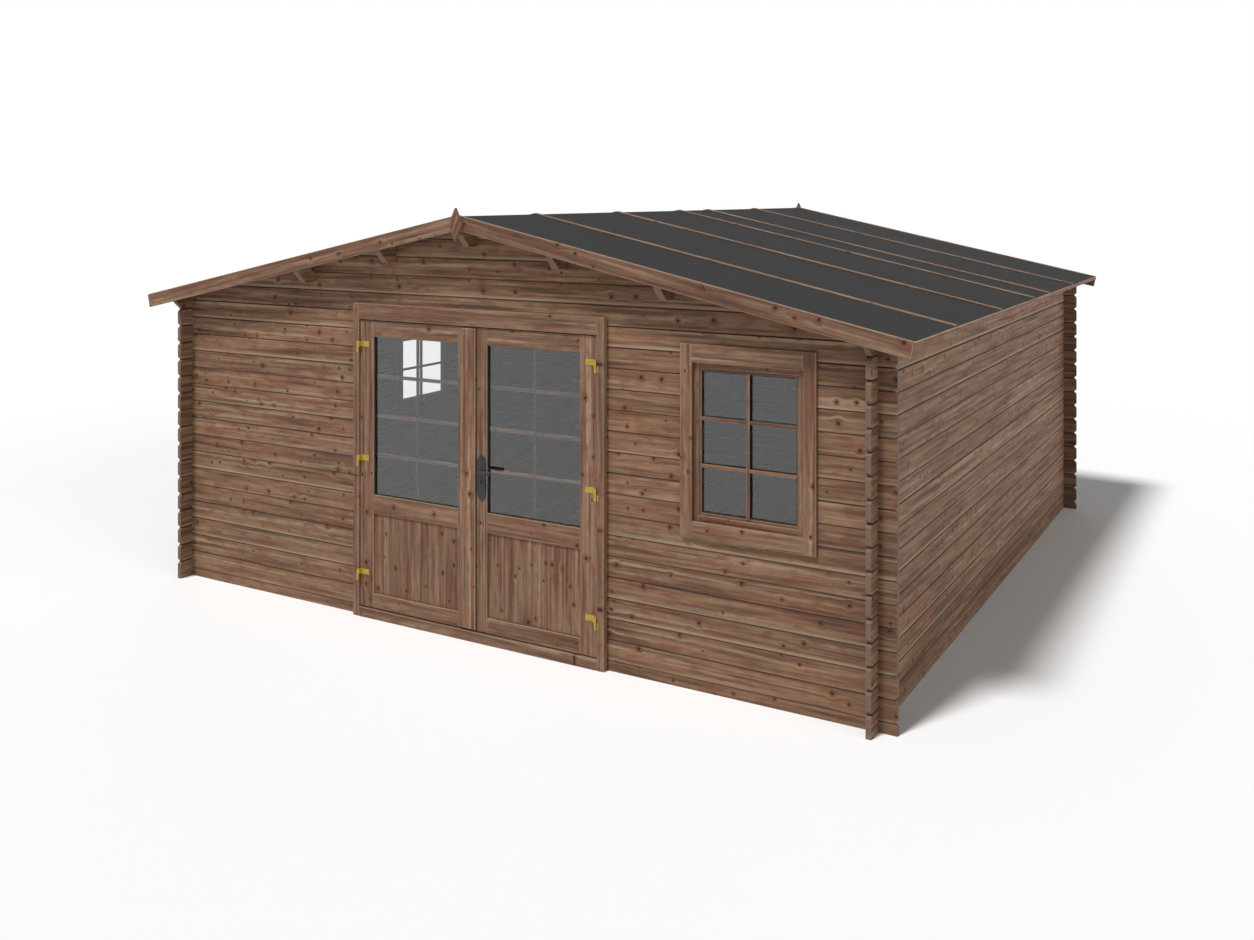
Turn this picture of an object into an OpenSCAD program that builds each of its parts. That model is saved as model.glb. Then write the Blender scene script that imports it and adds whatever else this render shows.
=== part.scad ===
// Log-built garden shed with a low gable roof, glazed double doors and two windows.
// Millimetres. X runs along the front, Y from front to back, Z up.
// The origin is on the ground at the middle of the plan.

/* [Logs] */
// Height of one log course
course_h = 114; // [95:1:140]
// Thickness of the wall logs
log_t = 28; // [22:1:45]
// Depth of the groove along each log joint
joint_groove = 4; // [2:0.5:7]
// Length that the crossed log ends run past the wall face
log_end = 98; // [70:1:130]
// Corner cut on each log end
end_cut = 18; // [8:1:28]

/* [Walls] */
// Width over the outer faces of the side walls
wall_w = 4860; // [4600:10:5600]
// Depth over the outer faces of the front and back walls
wall_d = 4860; // [3800:10:6000]

/* [Roof] */
// Slope of the roof in degrees
roof_pitch = 12; // [10:0.5:18]
// Eaves overhang past the side wall face
eaves_out = 227; // [160:1:320]
// Gable overhang from the wall face to the back of the bargeboards
gable_out = 142; // [130:1:240]
// Thickness of the roof boards
roof_board_t = 18; // [14:1:28]
// Thickness of the roofing felt
felt_t = 3; // [2:0.5:6]
// Width of the battens over the felt seams
batten_w = 36; // [20:1:60]
// Thickness of the battens
batten_t = 8; // [5:1:14]
// Width of a bargeboard
barge_w = 88; // [70:1:130]
// Thickness of a bargeboard
barge_t = 20; // [14:1:30]
// Height that the bargeboards stand above the felt
barge_proud = 8; // [4:1:20]
// Thickness of the strip along the eaves edge
eaves_strip_t = 14; // [8:1:24]
// Thickness of the gable finials
finial_t = 24; // [14:1:36]
// Width of the gable finials
finial_w = 68; // [40:1:100]
// Height of the gable finials
finial_h = 192; // [150:1:240]

/* [Purlins] */
// Width of a purlin
purlin_w = 45; // [30:1:80]
// Height of a purlin at its middle
purlin_h = 138; // [110:1:160]
// Distance of the upper purlins from the ridge line
purlin_upper_x = 616; // [450:1:750]
// Distance of the lower purlins from the ridge line
purlin_lower_x = 1290; // [1100:1:1600]

/* [Floor] */
// Height of the floor joists
joist_h = 40; // [30:1:50]
// Width of the floor joists
joist_w = 45; // [30:1:70]
// Thickness of the floor boards
floor_t = 18; // [14:1:22]
// Number of floor joists
joist_count = 11; // [9:1:15]
// Clear gap between the floor boards and the walls
floor_gap = 34; // [30:1:60]

/* [Door frame] */
// Width over the door frame
door_frame_w = 1812; // [1700:2:2000]
// Height of the door frame
door_frame_h = 1931; // [1900:1:1960]
// Face width of the side posts
post_w = 45; // [38:1:60]
// Face height of the frame head
head_h = 98; // [70:1:120]
// Length that the frame stands in front of the wall
frame_proud = 40; // [32:1:60]
// Length that the frame stands behind the wall
frame_back = 25; // [15:1:28]
// Overlap of the frame over the log ends
frame_lap = 22; // [10:1:30]
// Height of the threshold
threshold_h = 60; // [58:1:80]
// Width of the stop behind the leaves
stop_w = 14; // [8:1:20]

/* [Door leaves] */
// Thickness of a door leaf
leaf_t = 40; // [34:1:48]
// Distance of the leaf face behind the frame face
leaf_set = 12; // [8:1:18]
// Running gap around the leaves
leaf_gap = 6; // [5:0.5:8]
// Gap between the two leaves
meeting_gap = 8; // [7:0.5:12]
// Offset of the meeting line from the middle of the doorway
meeting_x = 37; // [0:1:60]
// Width of the hinge stiles
hinge_stile_w = 108; // [90:1:130]
// Width of the left leaf's meeting stile
left_meeting_w = 131; // [110:1:150]
// Width of the right leaf's meeting stile
right_meeting_w = 72; // [62:1:100]
// Height of the top rails
top_rail_h = 98; // [70:1:120]
// Height of the middle rails
mid_rail_h = 117; // [90:1:140]
// Height of the bottom rails
bottom_rail_h = 89; // [70:1:120]
// Height of the board panels
panel_h = 489; // [350:1:600]
// Thickness of the board panels
panel_t = 16; // [12:1:20]
// Thickness of the glass
glass_t = 4; // [3:0.5:6]
// Depth of the grooves that hold glass and panels
glaze_groove = 8; // [5:0.5:12]
// Width of the left leaf's meeting stile that shows beside its cover strip
strip_reveal = 23; // [5:1:40]
// Thickness of the cover strip
strip_t = 10; // [6:1:12]

/* [Door furniture] */
// Radius of the hinge knuckles
knuckle_r = 7; // [6:0.5:9]
// Radius of the hinge pins
pin_r = 4; // [3:0.5:5]
// Radial clearance of the hinge pins and the handle spindle
pin_clear = 0.05; // [0.02:0.01:0.1]
// Height of one hinge knuckle
knuckle_h = 34; // [26:1:50]
// Width of the hinge plates on the leaves
hinge_plate_w = 48; // [36:1:70]
// Width of the hinge plates on the frame
frame_plate_w = 32; // [20:1:40]
// Thickness of the hinge plates
hinge_plate_t = 3; // [2:0.5:5]
// Distance of the lowest hinge above the leaf's bottom edge
hinge_low_in = 196; // [120:1:300]
// Distance of the highest hinge below the leaf's top edge
hinge_high_in = 163; // [100:1:300]
// Width of the handle plates
handle_plate_w = 48; // [36:1:54]
// Length of the handle plates
handle_plate_l = 259; // [200:1:300]
// Thickness of the handle plates
handle_plate_t = 9; // [6:0.5:12]
// Height of the lever above the ground
lever_z = 1001; // [950:1:1050]
// Length of the lever from its spindle
lever_l = 92; // [80:1:130]
// Radius of the lever
lever_r = 8; // [6:0.5:10]
// Radius of the handle spindle
spindle_r = 5; // [4:0.5:6]
// Distance of the lever from its plate
lever_out = 42; // [34:1:60]

/* [Windows] */
// Width of the cut through the logs for a window
window_w = 656; // [560:2:760]
// Part of the free wall beside the front window that lies towards the doors
window_share = 0.62; // [0.3:0.01:0.8]
// Log courses between the front window and the gable
window_over = 1; // [1:1:2]
// Log courses beside a window
window_courses = 8; // [6:1:9]
// Lap of the trim boards over the logs
trim_lap = 52; // [40:1:70]
// Width of the side trim boards
trim_side_w = 68; // [56:1:90]
// Height of the top trim board
trim_top_h = 97; // [76:1:120]
// Height of the bottom trim board
trim_bottom_h = 88; // [76:1:120]
// Thickness of the trim boards
trim_t = 20; // [14:1:28]
// Face width of the window frame that shows inside the trim
sash_face = 44; // [34:1:60]
// Distance of the window frame's face behind the wall face
sash_set = 4; // [0:1:8]
// Depth of the window frame
sash_t = 44; // [36:1:60]
// Width of the outer step on the window frame
sash_step_w = 14; // [8:1:20]
// Depth of the outer step on the window frame
sash_step_t = 8; // [4:1:12]

/* [Hidden] */
$fn = 48;

wood = "#7c5a46";
wood_light = "#8a6a52";
felt_grey = "#434343";
glass_grey = "#8f989c";
brass_yellow = "#c8a437";
iron_grey = "#3c3a3e";

// Clearance between the purlins and the roof boards.
roof_seat = 0.2;

// Part of a purlin's height that the slanted cut takes off its end.
purlin_cut_share = 0.62;

// Distance that cutting shapes reach past the solid they cut.
past = 10;

// Half sizes of the plan, to the outer and the inner wall faces.
half_w = wall_w / 2;
half_d = wall_d / 2;
in_w = half_w - log_t;
in_d = half_d - log_t;

// The side walls are as many courses high as the door frame needs.
side_courses = ceil(door_frame_h / course_h);
wall_top = side_courses * course_h;

// The roof boards lie on the side walls' outer top edges.
slope = tan(roof_pitch);
function roof_under(x) = wall_top + (half_w - abs(x)) * slope;
board_v = roof_board_t / cos(roof_pitch);
felt_v = felt_t / cos(roof_pitch);
function felt_top(x) = roof_under(x) + board_v + felt_v;
roof_edge = half_w + eaves_out - eaves_strip_t;
roof_half = half_d + gable_out;

// Seams between the felt sheets, measured from the front edge of the roof.
felt_seams = [780, 1795, 2736, 3230, 4156];

// Frame and leaf planes in Y, from the front face of the door frame inwards.
frame_front = -half_d - frame_proud;
frame_rear = -in_d + frame_back;
leaf_front = frame_front + leaf_set;
leaf_rear = leaf_front + leaf_t;

// Doorway through the logs, and the clear opening inside the frame.
doorway_x = door_frame_w / 2 - frame_lap;
doorway_top = door_frame_h - frame_lap;
clear_x = door_frame_w / 2 - post_w;
clear_top = door_frame_h - head_h;
leaf_z0 = threshold_h + leaf_gap;
leaf_z1 = clear_top - leaf_gap;

// Edges of the leaves along X.
left_x0 = -clear_x + leaf_gap;
left_x1 = meeting_x - meeting_gap / 2;
right_x0 = meeting_x + meeting_gap / 2;
right_x1 = clear_x - leaf_gap;

// Heights of the panel and the glass in a leaf.
panel_z0 = leaf_z0 + bottom_rail_h;
panel_z1 = panel_z0 + panel_h;
pane_z0 = panel_z1 + mid_rail_h;
pane_z1 = leaf_z1 - top_rail_h;

// Hinge axes stand in front of the frame, over the running gap.
hinge_x = clear_x - leaf_gap / 2;
hinge_clear = 1.5;
hinge_y = frame_front - knuckle_r - hinge_clear;
hinge_low_z = leaf_z0 + hinge_low_in;
hinge_high_z = leaf_z1 - hinge_high_in;
hinge_heights = [hinge_low_z, (hinge_low_z + hinge_high_z) / 2, hinge_high_z];
knuckle_gap = 1;
strap_clear = 2.5;
strap_w = 10;

// The handle sits in the middle of the right leaf's meeting stile.
handle_x = right_x0 + right_meeting_w / 2;
lever_share_below = 0.65;
handle_z0 = lever_z - handle_plate_l * lever_share_below;
spindle_play = 3;

// The gable starts at the log joint below the doorway's top. Front logs start with a half course.
half_course = course_h / 2;
gable_z0 = floor((doorway_top - half_course) / course_h) * course_h + half_course;

// The window cuts lie between log joints, a half course lower in the left wall.
window_h = window_courses * course_h;
front_window_z1 = gable_z0 - window_over * course_h;
front_window_z0 = front_window_z1 - window_h;
side_window_z0 = front_window_z0 - half_course;
side_window_z1 = side_window_z0 + window_h;
board_seam = 0.5;

// The front window stands between the door frame and the corner.
window_half = window_w / 2;
trim_half = window_half + trim_lap;
window_free = in_w - door_frame_w / 2 - 2 * trim_half;
window_x = door_frame_w / 2 + window_free * window_share + trim_half;

finial_z = felt_top(0) + barge_proud - barge_w / 2;

module block(x0, x1, y0, y1, z0, z1) {
    translate([x0, y0, z0]) cube([x1 - x0, y1 - y0, z1 - z0]);
}

// Draws an outline given in X and Z, with its thickness along Y.
module along_y(y0, y1) {
    translate([0, y1, 0]) rotate([90, 0, 0]) linear_extrude(y1 - y0) children();
}

// Draws an outline given in Y and Z, with its thickness along X.
module along_x(x0, x1) {
    translate([x0, 0, 0]) rotate([90, 0, 90]) linear_extrude(x1 - x0) children();
}

module both_sides() {
    children();
    mirror([1, 0, 0]) children();
}

module both_ends() {
    children();
    mirror([0, 1, 0]) children();
}

// Heights of the log joints: shift is 0 for side walls and half a course for front and back.
function joints(shift, top) = [for (z = [shift:course_h:top]) if (z > 0 && z < top) z];

// One face of a stack of logs, from the bottom up, with a groove at each joint.
function grooved(face, inwards, shift, top) = [
    for (z = joints(shift, top - joint_groove))
        for (p = [[0, -1], [1, 0], [0, 1]]) [face + inwards * p[0] * joint_groove, z + p[1] * joint_groove]
];

// The ends of a stack of logs, with both corners of each log end cut off.
function log_ends(reach, shift, top) = [
    for (z = joints(shift, top - end_cut))
        for (p = [[0, -1], [1, 0], [0, 1]]) [reach - p[0] * end_cut, z + p[1] * end_cut]
];

function mirrored(points) = [for (i = [len(points) - 1:-1:0]) [-points[i][0], points[i][1]]];
function reversed(points) = [for (i = [len(points) - 1:-1:0]) points[i]];

// Section through the front wall logs in Y and Z.
module front_section() {
    top = roof_under(0);
    polygon(concat(
        [[-half_d, 0], [-in_d, 0]],
        grooved(-in_d, -1, half_course, top),
        [[-in_d, top], [-half_d, top]],
        reversed(grooved(-half_d, 1, half_course, top))
    ));
}

// Outline of the front wall in X and Z: log ends at both sides, cut to the roof slope.
module front_outline() {
    reach = half_w + log_end;
    ends = log_ends(reach, half_course, roof_under(reach));
    right = concat([[reach, 0]], ends, [[reach, roof_under(reach)]]);
    polygon(concat(right, [[0, roof_under(0)]], mirrored(right)));
}

// Spaces where the side wall logs pass through the front wall at the corners.
module side_log_tabs() {
    for (k = [0:side_courses - 1])
        both_sides()
            block(in_w, half_w, -half_d - past, -in_d + past,
                (k + 0.25) * course_h, (k + 0.75) * course_h);
}

// Spaces where the front and back logs pass through a side wall at the corners.
module front_log_tabs() {
    for (k = [-1:side_courses - 1])
        both_ends()
            block(in_w - past, half_w + past, -half_d, -in_d,
                (k + 0.75) * course_h, (k + 1.25) * course_h);
}

// A gable wall without its openings, standing at the front.
module gable_stack() {
    difference() {
        intersection() {
            along_x(-half_w - log_end, half_w + log_end) front_section();
            along_y(-half_d, -in_d) front_outline();
        }
        side_log_tabs();
        purlin_spaces();
    }
}

module purlin_spaces() {
    along_y(-half_d - past, -in_d + past) ridge_purlin_section(past);
    both_sides() along_y(-half_d - past, -in_d + past) {
        purlin_section(purlin_upper_x, past);
        purlin_section(purlin_lower_x, past);
    }
}

// The part of the front logs between two places along X and two heights.
module front_logs(x0, x1, z0, z1) {
    color(wood) intersection() {
        gable_stack();
        block(x0, x1, -half_d - past, -in_d + past, z0, z1);
    }
}

front_reach = half_w + log_end;
window_x0 = window_x - window_half;
window_x1 = window_x + window_half;

module front_wall_left() { front_logs(-front_reach, -doorway_x, 0, gable_z0); }
module front_wall_under_window() { front_logs(doorway_x, front_reach, 0, front_window_z0); }
module front_wall_middle() { front_logs(doorway_x, window_x0, front_window_z0, front_window_z1); }
module front_wall_corner() { front_logs(window_x1, front_reach, front_window_z0, front_window_z1); }
module front_wall_over_window() { front_logs(doorway_x, front_reach, front_window_z1, gable_z0); }

module front_gable() {
    color(wood) difference() {
        front_logs(-front_reach, front_reach, gable_z0, roof_under(0));
        block(-doorway_x, doorway_x, -half_d - past, -in_d + past, gable_z0 - past, doorway_top);
    }
}

module back_wall() { color(wood) mirror([0, 1, 0]) gable_stack(); }

// Section through the right wall logs in X and Z, its top cut to the roof slope.
module side_section() {
    polygon(concat(
        [[in_w, 0], [half_w, 0]],
        grooved(half_w, -1, course_h, wall_top),
        [[half_w, wall_top], [in_w, roof_under(in_w)]],
        reversed(grooved(in_w, 1, course_h, wall_top))
    ));
}

// Outline of a side wall in Y and Z. The top log runs on under the gable overhang.
module side_outline() {
    reach = half_d + log_end;
    plate_z = wall_top - course_h;
    top = roof_under(in_w);
    ends = log_ends(reach, course_h, plate_z);
    right = concat(
        [[reach, 0]], ends,
        [[reach, plate_z - end_cut], [reach - end_cut, plate_z],
         [roof_half, plate_z + half_course], [roof_half, top]]
    );
    polygon(concat(right, mirrored(right)));
}

// The right wall as one stack of logs.
module side_stack() {
    difference() {
        intersection() {
            along_y(-roof_half, roof_half) side_section();
            along_x(in_w, half_w) side_outline();
        }
        front_log_tabs();
    }
}

// The part of the left wall logs between two places along Y and two heights.
module left_logs(y0, y1, z0, z1) {
    color(wood) intersection() {
        mirror([1, 0, 0]) side_stack();
        block(-half_w - past, -in_w + past, y0, y1, z0, z1);
    }
}

module right_wall() { color(wood) side_stack(); }
module left_wall_lower() { left_logs(-roof_half, roof_half, 0, side_window_z0); }
module left_wall_front() { left_logs(-roof_half, -window_half, side_window_z0, side_window_z1); }
module left_wall_back() { left_logs(window_half, roof_half, side_window_z0, side_window_z1); }
module left_wall_upper() { left_logs(-roof_half, roof_half, side_window_z1, roof_under(in_w)); }

module floor_joists() {
    first = -in_d + floor_gap + joist_w / 2;
    step = -2 * first / (joist_count - 1);
    color(wood_light) for (i = [0:joist_count - 1])
        block(-in_w, in_w, first + i * step - joist_w / 2, first + i * step + joist_w / 2, 0, joist_h);
}

module floor_boards() {
    x = in_w - floor_gap;
    y = in_d - floor_gap;
    color(wood_light) block(-x, x, -y, y, joist_h, joist_h + floor_t);
}

// Section of a purlin at a distance from the ridge. Its top follows the roof slope, at a lift.
module purlin_section(x, lift) {
    low = roof_under(x) - purlin_h;
    inner = x - purlin_w / 2;
    outer = x + purlin_w / 2;
    high = roof_under(inner) + lift;
    polygon([[inner, low], [outer, low], [outer, roof_under(outer) + lift], [inner, high]]);
}

module ridge_purlin_section(lift) {
    w = purlin_w / 2;
    low = roof_under(0) - purlin_h;
    side = roof_under(w) + lift;
    polygon([[-w, low], [w, low], [w, side], [0, roof_under(0) + lift], [-w, side]]);
}

// Slanted cut under both purlin ends, from the bargeboard back to the wall face.
module purlin_ends(x) {
    low = roof_under(x) - purlin_h;
    rise = purlin_h * purlin_cut_share;
    end = roof_half + past;
    both_ends() along_x(-half_w, half_w)
        polygon([[half_d + past, low - past], [half_d + past, low], [end, low + rise], [end, low - past]]);
}

module ridge_purlin() {
    color(wood) difference() {
        along_y(-roof_half, roof_half) ridge_purlin_section(-roof_seat);
        purlin_ends(0);
    }
}

module side_purlin(x) {
    difference() {
        along_y(-roof_half, roof_half) purlin_section(x, -roof_seat);
        purlin_ends(x);
    }
}

module right_purlins() {
    color(wood) {
        side_purlin(purlin_upper_x);
        side_purlin(purlin_lower_x);
    }
}

module left_purlins() { mirror([1, 0, 0]) right_purlins(); }

// A layer of the right roof slope, lifted above the roof's underside by a plumb height.
module roof_layer(lift, thick) {
    low = roof_under(roof_edge) + lift;
    high = roof_under(0) + lift;
    along_y(-roof_half, roof_half)
        polygon([[0, high], [roof_edge, low], [roof_edge, low + thick], [0, high + thick]]);
}

module roof_boards_right() { color(wood) roof_layer(0, board_v); }
module roof_boards_left() { mirror([1, 0, 0]) roof_boards_right(); }
module roof_felt_right() { color(felt_grey) roof_layer(board_v, felt_v); }
module roof_felt_left() { mirror([1, 0, 0]) roof_felt_right(); }

// Battens lie on the felt over each seam and stop just short of the ridge line.
module felt_battens() {
    thick = batten_t / cos(roof_pitch);
    high = felt_top(board_seam);
    low = felt_top(roof_edge);
    color(wood_light) both_sides()
        for (s = felt_seams) if (s < 2 * roof_half - batten_w)
            along_y(-roof_half + s - batten_w / 2, -roof_half + s + batten_w / 2)
                polygon([[board_seam, high], [roof_edge, low],
                    [roof_edge, low + thick], [board_seam, high + thick]]);
}

module eaves_strips() {
    top = felt_top(roof_edge);
    color(wood_light) both_sides()
        block(roof_edge, roof_edge + eaves_strip_t, -roof_half, roof_half,
            roof_under(roof_edge), top);
}

// A pair of bargeboards with a plumb joint at the ridge and square lower ends.
module bargeboards() {
    x = half_w + eaves_out;
    top_ridge = felt_top(board_seam) + barge_proud;
    top_eaves = felt_top(x) + barge_proud;
    drop = barge_w / cos(roof_pitch);
    color(wood_light) both_sides() along_y(-roof_half - barge_t, -roof_half)
        polygon([[board_seam, top_ridge], [board_seam, top_ridge - drop],
            [x - barge_w * sin(roof_pitch), top_eaves - barge_w * cos(roof_pitch)], [x, top_eaves]]);
}

module front_bargeboards() { bargeboards(); }
module back_bargeboards() { mirror([0, 1, 0]) bargeboards(); }

module finials() {
    y = roof_half + barge_t;
    w = finial_w / 2;
    h = finial_h / 2;
    color(wood_light) both_ends() along_y(-y - finial_t, -y)
        translate([0, finial_z]) polygon([[0, -h], [w, 0], [0, h], [-w, 0]]);
}

// Section of the right door post in X and Y: it clasps the log ends and has a stop behind the leaf.
module post_section() {
    outer = door_frame_w / 2;
    stop = clear_x - stop_w;
    stop_y = leaf_rear + leaf_gap;
    polygon([[clear_x, frame_front], [outer, frame_front], [outer, -half_d], [doorway_x, -half_d],
        [doorway_x, -in_d], [outer, -in_d], [outer, frame_rear], [stop, frame_rear],
        [stop, stop_y], [clear_x, stop_y]]);
}

module door_post_right() {
    color(wood_light) difference() {
        linear_extrude(door_frame_h) post_section();
        block(0, doorway_x + past, -half_d, -in_d, doorway_top, door_frame_h + past);
    }
}

module door_post_left() { mirror([1, 0, 0]) door_post_right(); }

// Spaces that the stops on both posts take from the head and the threshold.
module post_stops(z0, z1) {
    both_sides()
        block(clear_x - stop_w, clear_x + past, leaf_rear + leaf_gap, frame_rear + past, z0, z1);
}

// The head clasps the log above the doorway and runs between the posts.
module door_head() {
    stop_y = leaf_rear + leaf_gap;
    stop = clear_top - stop_w;
    color(wood_light) difference() {
        along_x(-clear_x, clear_x)
            polygon([[frame_front, clear_top], [stop_y, clear_top], [stop_y, stop], [frame_rear, stop],
                [frame_rear, door_frame_h], [-in_d, door_frame_h], [-in_d, doorway_top],
                [-half_d, doorway_top], [-half_d, door_frame_h], [frame_front, door_frame_h]]);
        post_stops(stop - past, door_frame_h + past);
    }
}

module door_threshold() {
    color(wood_light) difference() {
        block(-clear_x, clear_x, frame_front, frame_rear, 0, threshold_h);
        post_stops(-past, threshold_h + past);
    }
}

// One leaf's stiles and rails, grooved for its glass and panel.
module leaf_frame(x0, x1, pane_x0, pane_x1) {
    color(wood_light) difference() {
        block(x0, x1, leaf_front, leaf_rear, leaf_z0, leaf_z1);
        block(pane_x0, pane_x1, leaf_front - past, leaf_rear + past, pane_z0, pane_z1);
        block(pane_x0, pane_x1, leaf_front - past, leaf_rear + past, panel_z0, panel_z1);
        pane(pane_x0, pane_x1, glass_t, pane_z0, pane_z1);
        pane(pane_x0, pane_x1, panel_t, panel_z0, panel_z1);
    }
}

// A sheet in the middle of a leaf's thickness, with its edges in the grooves.
module pane(x0, x1, thick, z0, z1) {
    mid = (leaf_front + leaf_rear) / 2;
    g = glaze_groove;
    block(x0 - g, x1 + g, mid - thick / 2, mid + thick / 2, z0 - g, z1 + g);
}

module leaf_panel(x0, x1) { color(wood_light) pane(x0, x1, panel_t, panel_z0, panel_z1); }
module leaf_glass(x0, x1) { color(glass_grey, 0.5) pane(x0, x1, glass_t, pane_z0, pane_z1); }

left_pane_x0 = left_x0 + hinge_stile_w;
left_pane_x1 = left_x1 - left_meeting_w;
right_pane_x0 = right_x0 + right_meeting_w;
right_pane_x1 = right_x1 - hinge_stile_w;

module left_leaf_frame() { leaf_frame(left_x0, left_x1, left_pane_x0, left_pane_x1); }
module left_leaf_panel() { leaf_panel(left_pane_x0, left_pane_x1); }
module left_leaf_glass() { leaf_glass(left_pane_x0, left_pane_x1); }

module right_leaf_frame() {
    difference() {
        leaf_frame(right_x0, right_x1, right_pane_x0, right_pane_x1);
        spindle_hole(leaf_front - past, leaf_rear + past, spindle_r + spindle_play);
    }
}

module right_leaf_panel() { leaf_panel(right_pane_x0, right_pane_x1); }
module right_leaf_glass() { leaf_glass(right_pane_x0, right_pane_x1); }

// The cover strip stops at the meeting line, so either leaf can open first.
module cover_strip() {
    color(wood_light)
        block(left_pane_x1 + strip_reveal, left_x1, leaf_front - strip_t, leaf_front,
            leaf_z0 + leaf_gap, leaf_z1 - leaf_gap);
}

// Upright cylinder on the right hinge axis.
module hinge_round(r, z0, z1) {
    translate([hinge_x, hinge_y, z0]) cylinder(r = r, h = z1 - z0);
}

// The leaf's half of a right hand hinge: plate, cranked strap and bored upper knuckle.
module leaf_hinge(z) {
    z1 = z + knuckle_h;
    strap_x = hinge_x - strap_clear;
    difference() {
        union() {
            hinge_round(knuckle_r, z, z1);
            block(strap_x - strap_w, strap_x, hinge_y - knuckle_r / 2, leaf_front, z, z1);
            block(strap_x - hinge_plate_w, strap_x - strap_w / 2,
                leaf_front - hinge_plate_t, leaf_front, z, z1);
        }
        hinge_round(pin_r + pin_clear, z - past, z1 + past);
    }
}

// The frame's half of a right hand hinge: plate, lower knuckle and pin.
module frame_hinge(z) {
    z0 = z - knuckle_gap - knuckle_h;
    z1 = z - knuckle_gap;
    hinge_round(knuckle_r, z0, z1);
    hinge_round(pin_r, z0, z + knuckle_h);
    block(hinge_x, hinge_x + frame_plate_w, frame_front - hinge_plate_t, frame_front, z0, z1);
}

module right_leaf_hinges() { color(brass_yellow) for (z = hinge_heights) leaf_hinge(z); }
module left_leaf_hinges() { mirror([1, 0, 0]) right_leaf_hinges(); }
module frame_hinges() { color(brass_yellow) both_sides() for (z = hinge_heights) frame_hinge(z); }

// Hole or shaft along the handle's spindle axis.
module spindle_hole(y0, y1, r) {
    translate([handle_x, y0, lever_z]) rotate([-90, 0, 0]) cylinder(r = r, h = y1 - y0);
}

// A long plate with round ends, standing against the leaf.
module handle_plate(y0, y1) {
    r = handle_plate_w / 2;
    top = handle_z0 + handle_plate_l;
    difference() {
        along_y(y0, y1) {
            translate([handle_x, handle_z0 + r]) circle(r);
            translate([handle_x, top - r]) circle(r);
            translate([handle_x - r, handle_z0 + r]) square([2 * r, handle_plate_l - 2 * r]);
        }
        spindle_hole(y0 - past, y1 + past, spindle_r + pin_clear);
    }
}

module handle_plates() {
    color(iron_grey) {
        handle_plate(leaf_front - handle_plate_t, leaf_front);
        handle_plate(leaf_rear, leaf_rear + handle_plate_t);
    }
}

// One grip along X at a place along Y, with a round end.
module lever_grip(y) {
    translate([handle_x, y, lever_z]) {
        sphere(r = lever_r);
        rotate([0, 90, 0]) cylinder(r = lever_r, h = lever_l - lever_r);
        translate([lever_l - lever_r, 0, 0]) sphere(r = lever_r);
    }
}

module handle_lever() {
    y0 = leaf_front - handle_plate_t - lever_out;
    y1 = leaf_rear + handle_plate_t + lever_out;
    color(iron_grey) union() {
        spindle_hole(y0, y1, spindle_r);
        lever_grip(y0);
        lever_grip(y1);
    }
}

// Window pieces are drawn at the front wall, centred on X, with the log cut's lower edge at z0.
module window_trim(z0) {
    x = trim_half;
    low = z0 - trim_lap;
    high = z0 + window_h + trim_lap;
    inner = x - trim_side_w - board_seam;
    y = -half_d - trim_t;
    both_sides() block(x - trim_side_w, x, y, -half_d, low, high);
    block(-inner, inner, y, -half_d, high - trim_top_h, high);
    block(-inner, inner, y, -half_d, low, low + trim_bottom_h);
}

// The window frame fills the cut through the logs and steps back towards the glass.
module window_sash(z0) {
    w = window_half;
    y0 = -half_d + sash_set;
    y1 = y0 + sash_step_t;
    y2 = y0 + sash_t;
    difference() {
        block(-w, w, y0, y2, z0, z0 + window_h);
        window_space(sash_border() - sash_step_w, y0 - past, y1, z0);
        window_space(sash_border(), y0 - past, y2 + past, z0);
        window_pane(z0);
    }
}

// Width of the window frame all round: what the trim hides, and what shows.
function sash_border() = trim_side_w - trim_lap + sash_face;

// The window opening, smaller than the log cut by a border on each side.
module window_space(border, y0, y1, z0) {
    w = window_half - border;
    top_extra = trim_top_h - trim_side_w;
    bottom_extra = trim_bottom_h - trim_side_w;
    block(-w, w, y0, y1, z0 + border + bottom_extra, z0 + window_h - border - top_extra);
}

module window_pane(z0) {
    mid = -half_d + sash_set + sash_t / 2;
    window_space(sash_border() - glaze_groove, mid - glass_t / 2, mid + glass_t / 2, z0);
}

// Moves a window from the middle of the front wall to its place in the front or the left wall.
module in_front_wall() { translate([window_x, 0, 0]) children(); }
module in_left_wall() { translate([half_d - half_w, 0, 0]) rotate([0, 0, -90]) children(); }

module front_window_trim() { color(wood_light) in_front_wall() window_trim(front_window_z0); }
module front_window_sash() { color(wood_light) in_front_wall() window_sash(front_window_z0); }
module front_window_glass() { color(glass_grey, 0.5) in_front_wall() window_pane(front_window_z0); }
module left_window_trim() { color(wood_light) in_left_wall() window_trim(side_window_z0); }
module left_window_sash() { color(wood_light) in_left_wall() window_sash(side_window_z0); }
module left_window_glass() { color(glass_grey, 0.5) in_left_wall() window_pane(side_window_z0); }

front_wall_left();
front_wall_under_window();
front_wall_middle();
front_wall_corner();
front_wall_over_window();
front_gable();
left_wall_lower();
left_wall_front();
left_wall_back();
left_wall_upper();
right_wall();
back_wall();
floor_joists();
floor_boards();
ridge_purlin();
left_purlins();
right_purlins();
roof_boards_left();
roof_boards_right();
roof_felt_left();
roof_felt_right();
felt_battens();
eaves_strips();
front_bargeboards();
back_bargeboards();
finials();
door_post_left();
door_post_right();
door_head();
door_threshold();
frame_hinges();
left_leaf_frame();
left_leaf_panel();
left_leaf_glass();
left_leaf_hinges();
cover_strip();
right_leaf_frame();
right_leaf_panel();
right_leaf_glass();
right_leaf_hinges();
handle_plates();
handle_lever();
front_window_trim();
front_window_sash();
front_window_glass();
left_window_trim();
left_window_sash();
left_window_glass();
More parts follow.
